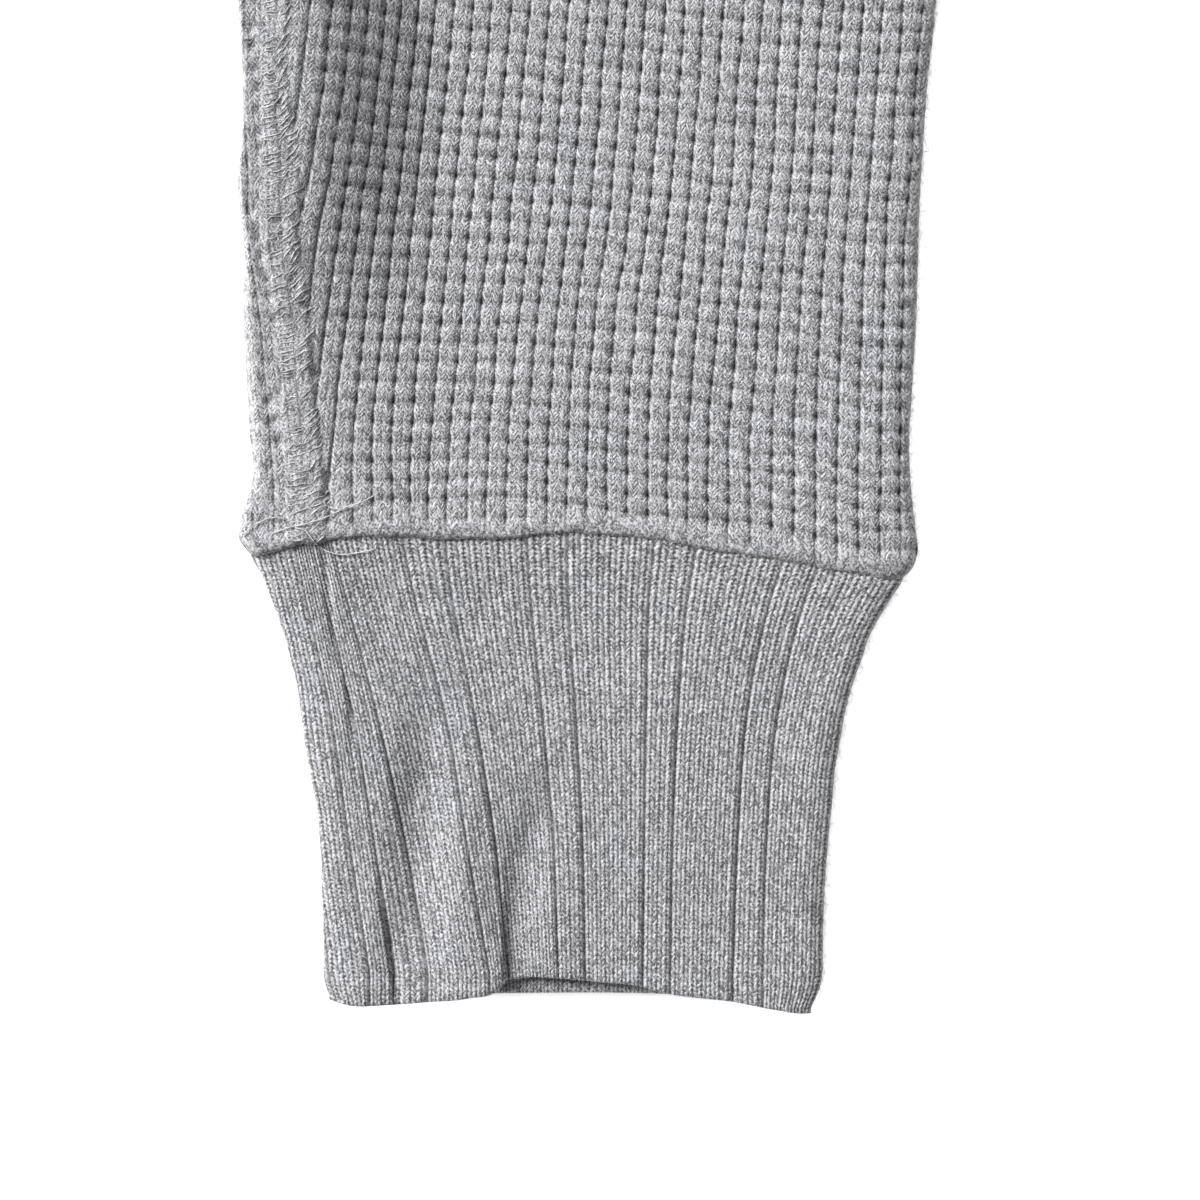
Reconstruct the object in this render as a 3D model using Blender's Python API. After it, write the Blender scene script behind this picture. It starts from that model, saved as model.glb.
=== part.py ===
"""Waffle-knit thermal top, long sleeved, laid flat on its back with its sleeves down beside it.

Metres, +Z up. The neck points to +Y, the hem to -Y and the wearer's left sleeve to +X. The origin is
at the middle of the underside. Every piece is a wall of cloth: the back lies on the surface, the
front lies on the back, and the sleeves, cuffs and neckband are flattened tubes that are folded along
their two long edges. Pieces that are sewn to each other stop one seam gap apart.
"""
import math

import bmesh
import bpy
import numpy as np

# Cloth
WAFFLE_WALL = 0.0022        # thickness of one layer of heavy waffle knit
RIB_WALL = 0.0019           # thickness of the doubled rib of the cuffs and neckband
LAYER_GAP = 0.0006          # air between the upper and the lower layer
SEAM_GAP = 0.0003           # clearance between two pieces at their seam
FOLD_STEPS = 3              # facets in each quarter of a folded edge
SHARP_ANGLE = math.radians(50.0)

# Body, measured down from the high point of the shoulder
BODY_LENGTH = 0.690
CHEST_HALF = 0.270          # half the width at the underarm
HEM_HALF = 0.262
NECK_HALF = 0.092           # neck seam at the shoulder
SHOULDER_HALF = 0.232       # shoulder tip
SHOULDER_DROP = 0.048
UNDERARM_DROP = 0.253
FRONT_NECK_DROP = 0.095     # at the neck seam
BACK_NECK_DROP = 0.022
BAND_WIDTH = 0.022
BODY_ROWS = (0.0, 0.2, 0.4, 0.56, 0.7, 0.82, 0.92)
HEM_SHARE_BELOW_SHOULDER = 0.84     # of half the hem: lines beyond it end at the armhole
HEM_SHARE_BELOW_NECK = 0.33         # lines within it end at the neck
SIDE_MARGIN = 2.0                   # fold radii by which a side's or shoulder's roll-over runs on

# Handles of the curved edges: how far each pulls its curve out
ARMHOLE_LOW_HANDLE = (-0.020, 0.060)
ARMHOLE_HIGH_HANDLE = (0.0, -0.080)
# columns: reach at the shoulder, what each metre of inset takes off it, reach at the middle as a
# share of half the neck's width
NECK_HANDLES = {"front": (0.058, 0.8, 0.56), "back": (0.016, 0.0, 0.52)}
CURVE_POINTS = 65

# Facets along each seam, the same on both sides of it so that its gap stays even
SLEEVE_FACETS = 8
NECK_FACETS = {"front": 12, "back": 8}
BAND_RINGS = 4
SHOULDER_FACETS = 3

# Sleeve as it lies: its own frame has "across" to the outer edge and "along" to the wrist, with its
# zero at the middle of the cuff seam
SLEEVE_ANGLE = math.radians(30.0)       # between the sleeve and the body's length
SLEEVE_UNDERARM = (-0.345, -0.080)      # along and across of the underarm point
RINGS_PER_ROW = 2

# columns: under_along, under_across, outer_along, outer_across, armhole_bow, cuff_bow
SLEEVE_ROWS = (
    (-0.3300, -0.0775, -0.5040, 0.0210, 0.85, 0.0),
    (-0.3120, -0.0750, -0.4650, 0.0455, 0.62, 0.0),
    (-0.2880, -0.0718, -0.4240, 0.0650, 0.38, 0.0),
    (-0.2560, -0.0680, -0.3740, 0.0790, 0.18, 0.0),
    (-0.2100, -0.0635, -0.3000, 0.0820, 0.0, 0.0),
    (-0.1580, -0.0592, -0.2100, 0.0725, 0.0, 0.0),
    (-0.0850, -0.0557, -0.0900, 0.0590, 0.0, 0.0),
    (-0.0450, -0.0555, -0.0450, 0.0562, 0.0, 0.1),
    (-0.0140, -0.0540, -0.0140, 0.0550, 0.0, 0.4),
    (-0.0012, -0.0562, -0.0012, 0.0567, 0.0, 0.7),
    (0.0000, -0.0547, 0.0000, 0.0542, 0.0, 1.0),
)

# columns: along, under_across, outer_across, seam_bow, mouth_bow, mouth_fold
CUFF_ROWS = (
    (0.0004, -0.0545, 0.0540, 1.0, 0.0, 0.0),
    (0.0060, -0.0528, 0.0532, 0.9, 0.0, 0.0),
    (0.0160, -0.0500, 0.0503, 0.5, 0.0, 0.0),
    (0.0250, -0.0478, 0.0474, 0.2, 0.0, 0.0),
    (0.0370, -0.0454, 0.0440, 0.0, 0.0, 0.1),
    (0.0500, -0.0433, 0.0422, 0.0, 0.2, 0.3),
    (0.0650, -0.0422, 0.0409, 0.0, 0.6, 0.7),
    (0.0768, -0.0417, 0.0406, 0.0, 1.0, 1.0),
)
CUFF_SEAM_BOW = (0.0039, 0.0080)        # how far the seam dips at its underarm and outer ends
CUFF_MOUTH_BOW = (0.0019, 0.0036)
# The upper layer of the mouth stands up in a soft fold and is drawn back a little beside it
MOUTH_FOLD = {"place": 0.34, "width": 0.09, "height": 0.0012}
MOUTH_DRAW = {"place": 0.48, "width": 0.14, "length": 0.0016}

# Derived
SHOULDER_RUN = np.array([SHOULDER_HALF - NECK_HALF, -SHOULDER_DROP])
SHOULDER_WAY = SHOULDER_RUN / np.linalg.norm(SHOULDER_RUN)
SHOULDER_OUT = np.array([-SHOULDER_WAY[1], SHOULDER_WAY[0]])
BAND_RISE = -BAND_WIDTH * SHOULDER_WAY[1]
HIGH_POINT_Y = (BODY_LENGTH - BAND_RISE) / 2.0
NECK_POINT = np.array([NECK_HALF, HIGH_POINT_Y])
SHOULDER_TIP = NECK_POINT + SHOULDER_RUN
UNDERARM = np.array([CHEST_HALF, HIGH_POINT_Y - UNDERARM_DROP])
HEM_CORNER = np.array([HEM_HALF, HIGH_POINT_Y - BODY_LENGTH])
SLEEVE_ALONG = np.array([math.sin(SLEEVE_ANGLE), -math.cos(SLEEVE_ANGLE)])
SLEEVE_ACROSS = np.array([math.cos(SLEEVE_ANGLE), math.sin(SLEEVE_ANGLE)])
CUFF_CENTRE = UNDERARM - SLEEVE_UNDERARM[0] * SLEEVE_ALONG - SLEEVE_UNDERARM[1] * SLEEVE_ACROSS


def bezier(start, start_handle, end_handle, end):
    """Points of a cubic Bezier curve."""
    t = np.linspace(0.0, 1.0, CURVE_POINTS)[:, None]
    return ((1 - t) ** 3 * start + 3 * t * (1 - t) ** 2 * start_handle
            + 3 * t ** 2 * (1 - t) * end_handle + t ** 3 * end)


def curve_length(points):
    return np.linalg.norm(np.diff(points, axis=0), axis=1).sum()


def curve_at(points, fractions):
    """Points of a curve at the given fractions of its length."""
    steps = np.linalg.norm(np.diff(points, axis=0), axis=1)
    travelled = np.concatenate([[0.0], np.cumsum(steps)]) / steps.sum()
    return np.stack([np.interp(fractions, travelled, points[:, axis]) for axis in (0, 1)], axis=1)


def mirrored(points):
    return points * np.array([-1.0, 1.0])


def armhole_curve():
    """Armhole from the underarm to the shoulder tip."""
    return bezier(UNDERARM, UNDERARM + ARMHOLE_LOW_HANDLE, SHOULDER_TIP + ARMHOLE_HIGH_HANDLE, SHOULDER_TIP)


def neck_edge(layer, inset):
    """Front or back neck edge, from the left arm's shoulder to the right arm's, inset into the band."""
    drop = FRONT_NECK_DROP if layer == "front" else BACK_NECK_DROP
    reach, reach_loss, middle_share = NECK_HANDLES[layer]
    end = NECK_POINT - inset * SHOULDER_WAY
    middle = np.array([0.0, HIGH_POINT_Y - drop + inset])
    end_handle = end - (reach - reach_loss * inset) * SHOULDER_OUT
    half = bezier(end, end_handle, middle + np.array([middle_share * end[0], 0.0]), middle)
    return np.concatenate([half, mirrored(half)[-2::-1]])


def fold_radius(wall):
    return wall + LAYER_GAP / 2.0


def fold_fractions(length, radius, middle_count):
    """Fractions of an edge: close together where it rounds over at both ends, even between them."""
    angles = np.linspace(0.0, math.pi / 2.0, FOLD_STEPS + 1)
    near_end = radius * (1.0 - np.cos(angles)) / length
    middle = np.linspace(near_end[-1], 1.0 - near_end[-1], middle_count + 1)[1:-1]
    return np.concatenate([near_end, middle, (1.0 - near_end)[::-1]])


def add_solid(name, outer, inner, wraps, colour):
    """Closed wall between two grids of points. A wrapped grid is a ring along its second axis."""
    rows, columns = outer.shape[:2]
    mesh = bmesh.new()
    skins = []
    for grid in (outer, inner):
        skins.append([[mesh.verts.new(point) for point in row] for row in grid])
    last = columns if wraps else columns - 1
    for skin in skins:
        for row in range(rows - 1):
            for column in range(last):
                after = (column + 1) % columns
                mesh.faces.new((skin[row][column], skin[row][after],
                                skin[row + 1][after], skin[row + 1][column]))
    for row in (0, rows - 1):
        for column in range(last):
            after = (column + 1) % columns
            mesh.faces.new((skins[0][row][column], skins[0][row][after],
                            skins[1][row][after], skins[1][row][column]))
    if not wraps:
        for column in (0, columns - 1):
            for row in range(rows - 1):
                mesh.faces.new((skins[0][row][column], skins[0][row + 1][column],
                                skins[1][row + 1][column], skins[1][row][column]))
    bmesh.ops.recalc_face_normals(mesh, faces=mesh.faces)
    data = bpy.data.meshes.new(name)
    mesh.to_mesh(data)
    mesh.free()
    data.shade_smooth()
    data.set_sharp_from_angle(angle=SHARP_ANGLE)
    data.materials.append(cloth_material(name, colour))
    solid = bpy.data.objects.new(name, data)
    bpy.context.scene.collection.objects.link(solid)


def cloth_material(name, colour):
    material = bpy.data.materials.new(name + "_cloth")
    material.use_nodes = True
    shader = material.node_tree.nodes["Principled BSDF"]
    shader.inputs["Base Color"].default_value = (*colour, 1.0)
    shader.inputs["Roughness"].default_value = 0.9
    shader.inputs["Metallic"].default_value = 0.0
    return material


def add_panel(name, colour):
    """Front or back: straight lines from the hem up to the armholes, shoulders and neck edge.

    It lies flat and rounds over to half the height of the top along its sides and shoulders, where
    the other panel meets it.
    """
    is_front = name == "front"
    radius = fold_radius(WAFFLE_WALL)
    armhole = armhole_curve()
    neck = neck_edge(name, 0.0)
    shoulder = np.stack([SHOULDER_TIP, NECK_POINT])
    right_armhole = curve_at(armhole, fold_fractions(curve_length(armhole), radius, SLEEVE_FACETS))
    right_shoulder = curve_at(shoulder, np.linspace(0.0, 1.0, SHOULDER_FACETS + 1))
    whole_neck = curve_at(neck, fold_fractions(curve_length(neck), radius, NECK_FACETS[name]))
    top = np.concatenate([right_armhole[:-1], right_shoulder[:-1], whole_neck,
                          mirrored(right_shoulder)[-2::-1], mirrored(right_armhole)[-2::-1]])

    # each point of the upper edge has its own point on the hem, closer together below the armholes
    steps = np.concatenate([[0.0], np.cumsum(np.linalg.norm(np.diff(top, axis=0), axis=1))])
    hem_share = [0.0, steps[len(right_armhole) - 1], steps[len(right_armhole) + len(right_shoulder) - 2]]
    hem_from = hem_share + [steps[-1] - share for share in reversed(hem_share)]
    hem_x = [HEM_HALF, HEM_SHARE_BELOW_SHOULDER * HEM_HALF, HEM_SHARE_BELOW_NECK * HEM_HALF]
    hem_to = hem_x + [-x for x in reversed(hem_x)]
    hem = np.stack([np.interp(steps, hem_from, hem_to), np.full(len(top), HEM_CORNER[1])], axis=1)
    near_side = radius * (1.0 - np.cos(np.linspace(0.0, math.pi / 2.0, FOLD_STEPS + 1)))
    hem[:FOLD_STEPS + 1, 0] = HEM_HALF - near_side
    hem[-FOLD_STEPS - 1:, 0] = -HEM_HALF + near_side[::-1]

    height = BODY_LENGTH - SHOULDER_DROP
    rows = np.array(list(BODY_ROWS) + list(1.0 - near_side[::-1] / height))
    plan = hem[None] + rows[:, None, None] * (top - hem)[None]

    # roll-over: how near each point is to a side or a shoulder
    tilt = np.zeros(plan.shape[:2])
    outward = np.zeros(plan.shape)
    for mirror in (1.0, -1.0):
        for start, end in ((HEM_CORNER, UNDERARM), (SHOULDER_TIP, NECK_POINT)):
            way = (end - start) / np.linalg.norm(end - start)
            out = np.array([way[1], -way[0]]) * np.array([mirror, 1.0])
            inside = (start * np.array([mirror, 1.0]) - plan) @ out
            along = (plan * np.array([mirror, 1.0]) - start) @ way
            margin = SIDE_MARGIN * radius
            beside = (along > -margin) & (along < np.linalg.norm(end - start) + margin)
            rolls = beside & (inside < radius)
            tilt[rolls] = np.arcsin(np.clip(1.0 - inside[rolls] / radius, 0.0, 1.0))
            outward[rolls] = out
    side = 1.0 if is_front else -1.0
    normal = np.concatenate([outward * np.sin(tilt)[..., None], side * np.cos(tilt)[..., None]], axis=2)
    outer = np.concatenate([plan, (radius + side * radius * np.cos(tilt))[..., None]], axis=2)
    inner = outer - WAFFLE_WALL * normal
    seam = radius + side * SEAM_GAP / 2.0
    for skin in (outer, inner):
        height_now = skin[..., 2]
        skin[..., 2] = np.maximum(height_now, seam) if is_front else np.minimum(height_now, seam)
    add_solid(name, outer, inner, False, colour)


def flat_ring(front, back, wall, lift=0.0):
    """Outer and inner points of one section of a flattened tube.

    front and back are the lines, from one folded edge to the other, that its two layers follow, and
    lift is how far the upper layer stands up from lying flat.
    """
    radius = fold_radius(wall)
    loops = []
    for line, side, rise in ((front, 1.0, lift), (back[::-1], -1.0, 0.0)):
        flat = np.column_stack([line[1:-1], np.full(len(line) - 2, radius + side * radius) + rise])
        normal = np.tile([0.0, 0.0, side], (len(flat), 1))
        loops.append((flat, normal))
        way = line[-1] - line[-2]
        way = way / np.linalg.norm(way)
        centre = np.array([*line[-2], radius])
        for step in range(1, 2 * FOLD_STEPS):
            angle = step * math.pi / (2 * FOLD_STEPS)
            turn = np.array([*(way * math.sin(angle)), side * math.cos(angle)])
            loops.append(((centre + radius * turn)[None], turn[None]))
    points = np.concatenate([loop[0] for loop in loops])
    normals = np.concatenate([loop[1] for loop in loops])
    return points, points - wall * normals


def smooth_rows(rows, count):
    """More rows between the rows of a table, on a Catmull-Rom curve through them."""
    rows = np.array(rows)
    padded = np.concatenate([2 * rows[:1] - rows[1:2], rows, 2 * rows[-1:] - rows[-2:-1]])
    place = np.linspace(0.0, len(rows) - 1.0, count)
    index = np.minimum(place.astype(int), len(rows) - 2)
    t = (place - index)[:, None]
    a, b, c, d = (padded[index + step] for step in range(4))
    return 0.5 * (2 * b + (c - a) * t + (2 * a - 5 * b + 4 * c - d) * t ** 2
                  + (3 * b - a - 3 * c + d) * t ** 3)


def ring_fractions(length, wall, middle_count=SLEEVE_FACETS):
    """Fractions of a section's width: its two edges, one fold radius in from them, and between."""
    inset = fold_radius(wall) / length
    return np.concatenate([[0.0], np.linspace(inset, 1.0 - inset, middle_count + 1), [1.0]])


def bow(fractions, ends):
    """Dip of a seam that runs square to the sleeve in its middle and falls away to both ends."""
    half = 2.0 * fractions - 1.0
    return np.where(half < 0.0, ends[0], ends[1]) * half ** 2


def swell(fractions, fold):
    """Bell curve across a section, 1 at the place of a fold."""
    return np.exp(-((fractions - fold["place"]) / fold["width"]) ** 2)


def in_world(along, across):
    return (CUFF_CENTRE + np.asarray(along)[..., None] * SLEEVE_ALONG
            + np.asarray(across)[..., None] * SLEEVE_ACROSS)


def sleeve_sections():
    """Lines across the sleeve from its underarm edge to its outer edge, armhole first."""
    armhole = armhole_curve()
    first = ring_fractions(curve_length(armhole), WAFFLE_WALL)
    line = curve_at(armhole, first)
    way = np.gradient(line, axis=0)
    way = way / np.linalg.norm(way, axis=1)[:, None]
    sections = [line + SEAM_GAP * np.stack([way[:, 1], -way[:, 0]], axis=1)]
    for row in smooth_rows(SLEEVE_ROWS, RINGS_PER_ROW * len(SLEEVE_ROWS)):
        under_along, under_across, outer_along, outer_across, armhole_bow, cuff_bow = row
        under = in_world(under_along, under_across)
        outer = in_world(outer_along, outer_across)
        share = ring_fractions(np.linalg.norm(outer - under), WAFFLE_WALL)
        armhole_line = curve_at(armhole, share)
        armhole_chord = UNDERARM + share[:, None] * (SHOULDER_TIP - UNDERARM)
        dip = cuff_bow * bow(share, CUFF_SEAM_BOW)
        sections.append(under + share[:, None] * (outer - under)
                        + armhole_bow * (armhole_line - armhole_chord)
                        + dip[:, None] * SLEEVE_ALONG)
    return [(line, line, 0.0) for line in sections]


def cuff_sections():
    """Lines of the upper and lower layer across the cuff, with the upper one's lift, seam first."""
    sections = []
    for row in smooth_rows(CUFF_ROWS, RINGS_PER_ROW * len(CUFF_ROWS)):
        along, under, outer, seam_bow, mouth_bow, mouth_fold = row
        share = ring_fractions(outer - under, RIB_WALL)
        dip = seam_bow * bow(share, CUFF_SEAM_BOW) + mouth_bow * bow(share, CUFF_MOUTH_BOW)
        across = under + share * (outer - under)
        draw = mouth_fold * swell(share, MOUTH_DRAW) * MOUTH_DRAW["length"]
        lift = mouth_fold * swell(share, MOUTH_FOLD) * MOUTH_FOLD["height"]
        sections.append((in_world(along + dip - draw, across), in_world(along + dip, across), lift[1:-1]))
    return sections


def add_tube(name, sections, wall, mirror, colour):
    """Flattened tube through its sections, mirrored for the wearer's right."""
    rings = [flat_ring(front, back, wall, lift) for front, back, lift in sections]
    side = np.array([mirror, 1.0, 1.0])
    add_solid(name, np.stack([ring[0] for ring in rings]) * side,
              np.stack([ring[1] for ring in rings]) * side, True, colour)


def add_neckband(name, colour):
    """Band of rib: its front layer on the front neck edge, its back layer on the back one."""
    rings = []
    for inset in np.linspace(SEAM_GAP, BAND_WIDTH, BAND_RINGS):
        lines = []
        for layer, facets in NECK_FACETS.items():
            edge = neck_edge(layer, inset)
            lines.append(curve_at(edge, ring_fractions(curve_length(edge), RIB_WALL, facets)))
        rings.append(flat_ring(lines[0], lines[1], RIB_WALL))
    add_solid(name, np.stack([ring[0] for ring in rings]), np.stack([ring[1] for ring in rings]),
              True, colour)


WAFFLE_GREY = (0.36, 0.36, 0.375)
RIB_GREY = (0.37, 0.37, 0.385)

for leftover in list(bpy.data.objects):
    bpy.data.objects.remove(leftover, do_unlink=True)

add_panel("back", WAFFLE_GREY)
add_panel("front", WAFFLE_GREY)
add_neckband("neckband", RIB_GREY)
for wearer_side, mirror in (("left", 1.0), ("right", -1.0)):
    add_tube("sleeve_" + wearer_side, sleeve_sections(), WAFFLE_WALL, mirror, WAFFLE_GREY)
    add_tube("cuff_" + wearer_side, cuff_sections(), RIB_WALL, mirror, RIB_GREY)
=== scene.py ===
"""Looks of a heather-grey waffle-knit thermal top, laid flat, framed on the wearer's left cuff."""
import math

import bpy
import numpy as np
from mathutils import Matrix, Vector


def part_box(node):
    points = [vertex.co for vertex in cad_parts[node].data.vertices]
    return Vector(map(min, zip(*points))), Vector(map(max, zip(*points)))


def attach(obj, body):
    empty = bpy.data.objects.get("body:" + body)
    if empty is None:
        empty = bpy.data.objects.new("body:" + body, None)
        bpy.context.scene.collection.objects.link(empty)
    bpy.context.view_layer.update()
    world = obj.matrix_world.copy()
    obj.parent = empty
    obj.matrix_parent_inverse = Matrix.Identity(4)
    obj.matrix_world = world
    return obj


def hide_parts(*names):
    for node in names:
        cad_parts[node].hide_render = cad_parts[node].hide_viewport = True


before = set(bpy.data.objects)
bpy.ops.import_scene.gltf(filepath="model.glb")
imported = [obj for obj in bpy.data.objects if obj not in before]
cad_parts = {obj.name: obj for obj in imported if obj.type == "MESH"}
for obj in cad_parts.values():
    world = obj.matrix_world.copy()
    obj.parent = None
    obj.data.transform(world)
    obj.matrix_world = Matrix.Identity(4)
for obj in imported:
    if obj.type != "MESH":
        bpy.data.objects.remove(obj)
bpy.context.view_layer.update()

# ------------------------------------------------------------------ table, lamp and camera
# The top lies on a white table. A large soft lamp shines from far beyond the cuff's underarm side, and
# the camera hangs straight above the cuff, square to the sleeve. The sleeve's own frame, used for
# everything on it, runs "along" to the wrist and "across" to the outer edge from the cuff seam.
mm = 0.001
CHEST_HALF, HIGH_POINT = np.array(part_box("front")[1])[:2]
UNDERARM_DROP = 253 * mm
SLEEVE_TILT = math.radians(30.0)
SLEEVE_UNDERARM = (-345 * mm, -80 * mm)     # along, across
ALONG = np.array([math.sin(SLEEVE_TILT), -math.cos(SLEEVE_TILT)])
ACROSS = np.array([math.cos(SLEEVE_TILT), math.sin(SLEEVE_TILT)])
UNDERARM = np.array([CHEST_HALF, HIGH_POINT - UNDERARM_DROP])
CUFF_CENTRE = UNDERARM - SLEEVE_UNDERARM[0] * ALONG - SLEEVE_UNDERARM[1] * ACROSS

FRAME_SIDE = 200 * mm                       # what the camera sees, edge to edge
FRAME_CENTRE = (11.7 * mm, 3.7 * mm)        # along, across
LENS_MM, SENSOR_MM = 100.0, 36.0
LAMP_STRENGTH, LAMP_WIDTH = 5.75, math.radians(33.0)
LAMP_TURN, LAMP_RISE = math.radians(36.0), math.radians(33.5)
SKY_STRENGTH = 0.2
TABLE_HALF, TABLE_DROP = 3.0, 0.3 * mm      # from its middle to its edge, and below the cloth
TABLE_GREY, TABLE_ROUGHNESS = (0.86, 0.86, 0.86, 1.0), 0.8
# the table's glow, and the reach of the painted contact shadow that dims it near the cloth
TABLE_GLOW, CONTACT_SHADE = 1.0, 2.0 * mm


def on_sleeve(along, across):
    """Plan place of a point given in the sleeve's own frame."""
    return (CUFF_CENTRE + np.asarray(along)[..., None] * ALONG
            + np.asarray(across)[..., None] * ACROSS)


def new_material(name, roughness):
    """A material of one roughness, and its node tree."""
    material = bpy.data.materials.new(name)
    material.use_nodes = True
    material.node_tree.nodes["Principled BSDF"].inputs["Roughness"].default_value = roughness
    return material, material.node_tree


def lay_table():
    """A flat square just below the cloth. It glows, and less so where cloth is within CONTACT_SHADE: a
    painted contact shadow.
    """
    mesh = bpy.data.meshes.new("table")
    signs = ((-1, -1), (1, -1), (1, 1), (-1, 1))
    mesh.from_pydata([(x * TABLE_HALF, y * TABLE_HALF, -TABLE_DROP) for x, y in signs], [], [(0, 1, 2, 3)])
    material, tree = new_material("white_table", TABLE_ROUGHNESS)
    shader = tree.nodes["Principled BSDF"]
    shader.inputs["Base Color"].default_value = TABLE_GREY
    shader.inputs["Emission Strength"].default_value = TABLE_GLOW
    # ambient occlusion dims the glow near the cloth: a painted contact shadow
    painted_contact_shadow = tree.nodes.new("ShaderNodeAmbientOcclusion")
    painted_contact_shadow.inputs["Distance"].default_value = CONTACT_SHADE
    tree.links.new(painted_contact_shadow.outputs["Color"], shader.inputs["Emission Color"])
    mesh.materials.append(material)
    table = bpy.data.objects.new("table", mesh)
    bpy.context.scene.collection.objects.link(table)


def hang_lamp():
    """Round lamp far off, LAMP_TURN from the underarm side towards the shoulder and LAMP_RISE high."""
    toward = -ACROSS * math.cos(LAMP_TURN) - ALONG * math.sin(LAMP_TURN)
    light = bpy.data.lights.new("window_lamp", "SUN")
    light.angle = LAMP_WIDTH
    light.energy = LAMP_STRENGTH
    lamp = bpy.data.objects.new("window_lamp", light)
    quarter_turn = math.pi / 2.0
    lamp.rotation_euler = (quarter_turn - LAMP_RISE, 0.0, math.atan2(toward[1], toward[0]) + quarter_turn)
    bpy.context.scene.collection.objects.link(lamp)


def hang_camera():
    """Camera straight above the frame's middle, as high as lens and sensor need to see FRAME_SIDE."""
    camera = bpy.data.objects.new("camera", bpy.data.cameras.new("camera"))
    camera.data.lens = LENS_MM
    camera.data.sensor_width = SENSOR_MM
    camera.location = (*on_sleeve(*FRAME_CENTRE), FRAME_SIDE * LENS_MM / SENSOR_MM)
    camera.rotation_euler = (0.0, 0.0, SLEEVE_TILT)
    bpy.context.scene.collection.objects.link(camera)
    bpy.context.scene.camera = camera


def light_room():
    """Even white light from all round."""
    world = bpy.data.worlds.new("room")
    world.use_nodes = True
    background = world.node_tree.nodes["Background"]
    background.inputs["Color"].default_value = (1.0, 1.0, 1.0, 1.0)
    background.inputs["Strength"].default_value = SKY_STRENGTH
    bpy.context.scene.world = world
    bpy.context.scene.view_settings.view_transform = "Standard"


lay_table()
hang_lamp()
hang_camera()
light_room()

# ------------------------------------------------------------------ left sleeve
# Heavy waffle knit: pairs of plain wales parted by deep grooves, in small cells four courses high.
# The sleeve is one piece, folded flat and closed by a flatlock seam under the arm, and its end is
# rolled under along the cuff seam.
HALF_HEIGHT = 2.5 * mm                      # of the top as it lies, where its two layers meet
CLOSE_FROM = -104 * mm                      # along: from here on the left sleeve is modelled closely
SHOULDER_TIP = np.array([232 * mm, HIGH_POINT - 48 * mm])
COLUMN_PITCH, ROW_PITCH = 3.417 * mm, 3.4 * mm

# columns, all in mm: under_along, under_across, outer_along, outer_across, armhole_bow, seam_bow
SLEEVE_ROWS = (
    (-345.0, -80.0, -541.5, -10.4, 1.0, 0.0),
    (-330.0, -77.5, -504.0, 21.0, 0.85, 0.0),
    (-312.0, -75.0, -465.0, 45.5, 0.62, 0.0),
    (-288.0, -71.8, -424.0, 65.0, 0.38, 0.0),
    (-256.0, -68.0, -374.0, 79.0, 0.18, 0.0),
    (-210.0, -63.5, -300.0, 82.0, 0.0, 0.0),
    (-158.0, -59.2, -210.0, 72.5, 0.0, 0.0),
    (-122.0, -56.3, -122.0, 62.2, 0.0, 0.0),
    (-94.0, -55.8, -81.8, 59.0, 0.0, 0.0),
    (-86.0, -55.8, -73.9, 58.1, 0.0, 0.0),
    (-76.0, -55.2, -63.9, 57.4, 0.0, 0.0),
    (-66.0, -55.3, -53.9, 56.8, 0.0, 0.0),
    (-56.0, -56.1, -43.9, 56.5, 0.0, 0.0),
    (-46.0, -55.3, -33.9, 56.2, 0.0, 0.0),
    (-36.0, -55.5, -23.9, 55.6, 0.0, 0.0),
    (-26.0, -55.0, -14.0, 55.1, 0.0, 0.0),
    (-17.5, -54.6, -6.5, 55.4, 0.0, 0.1),
    (-8.0, -54.1, 0.5, 56.2, 0.0, 0.5),
    (-1.5, -55.9, 4.0, 56.3, 0.0, 0.85),
    (1.2, -56.2, 6.3, 55.5, 0.0, 0.95),
    (3.6, -54.6, 8.3, 53.8, 0.0, 1.0),
    (5.8, -52.8, 10.5, 51.8, 0.0, 1.0),
)

# columns, in mm: across, along: where the cuff seam dips towards the wrist
SEAM_LINE = (
    (-57.0, 4.6), (-51.3, 4.1), (-48.8, 3.7), (-46.3, 2.9), (-44.7, 2.6), (-34.7, 1.55), (-28.8, 1.5),
    (-23.8, 1.85), (-16.3, 1.9), (-11.3, 1.75), (-6.3, 1.05), (-3.0, 0.85), (1.2, 0.85), (3.7, 1.1),
    (8.7, 1.6), (13.7, 1.95), (18.7, 3.1), (26.2, 4.25), (30.3, 4.75), (37.0, 6.0), (45.3, 7.5),
    (57.0, 9.2),
)
SEAM_WAVER, WAVER_PITCH = 0.16 * mm, 1.9 * mm       # that the stitches give the seam

# columns, in mm: along, height, of the hump beside the underarm seam
SEAM_HUMP = (
    (-260.0, 0.0), (-190.0, 1.8), (-130.0, 6.4), (-90.0, 9.2), (-68.0, 8.8), (-53.0, 6.6), (-40.0, 3.6),
    (-26.0, 1.3), (-12.0, 0.3), (0.0, 0.0), (80.0, 0.0),
)
HUMP_TOP, HUMP_FOOT = -46.0 * mm, -21.5 * mm        # across
HUMP_ROUNDING = -0.15                               # of its height, at the folded edge
OUTER_ROUNDING = 4.8 * mm

ROLL_RISE, ROLL_MIDDLE, ROLL_REACH = 0.25 * mm, 1.6 * mm, 1.6 * mm  # above the seam
TUCK_DEPTH, TUCK_ROUNDING = 1.7 * mm, 0.55 * mm     # where the roll dives into the seam
BAND_RISE = 0.35 * mm                               # of the flatlock band over the cloth
COLUMNS_WAVER, ROWS_WAVER = 0.06, 0.1               # of the waffle's counts
LEAST_RISE = 0.5 * mm                               # of the upper layer, whatever hollows meet

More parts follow.
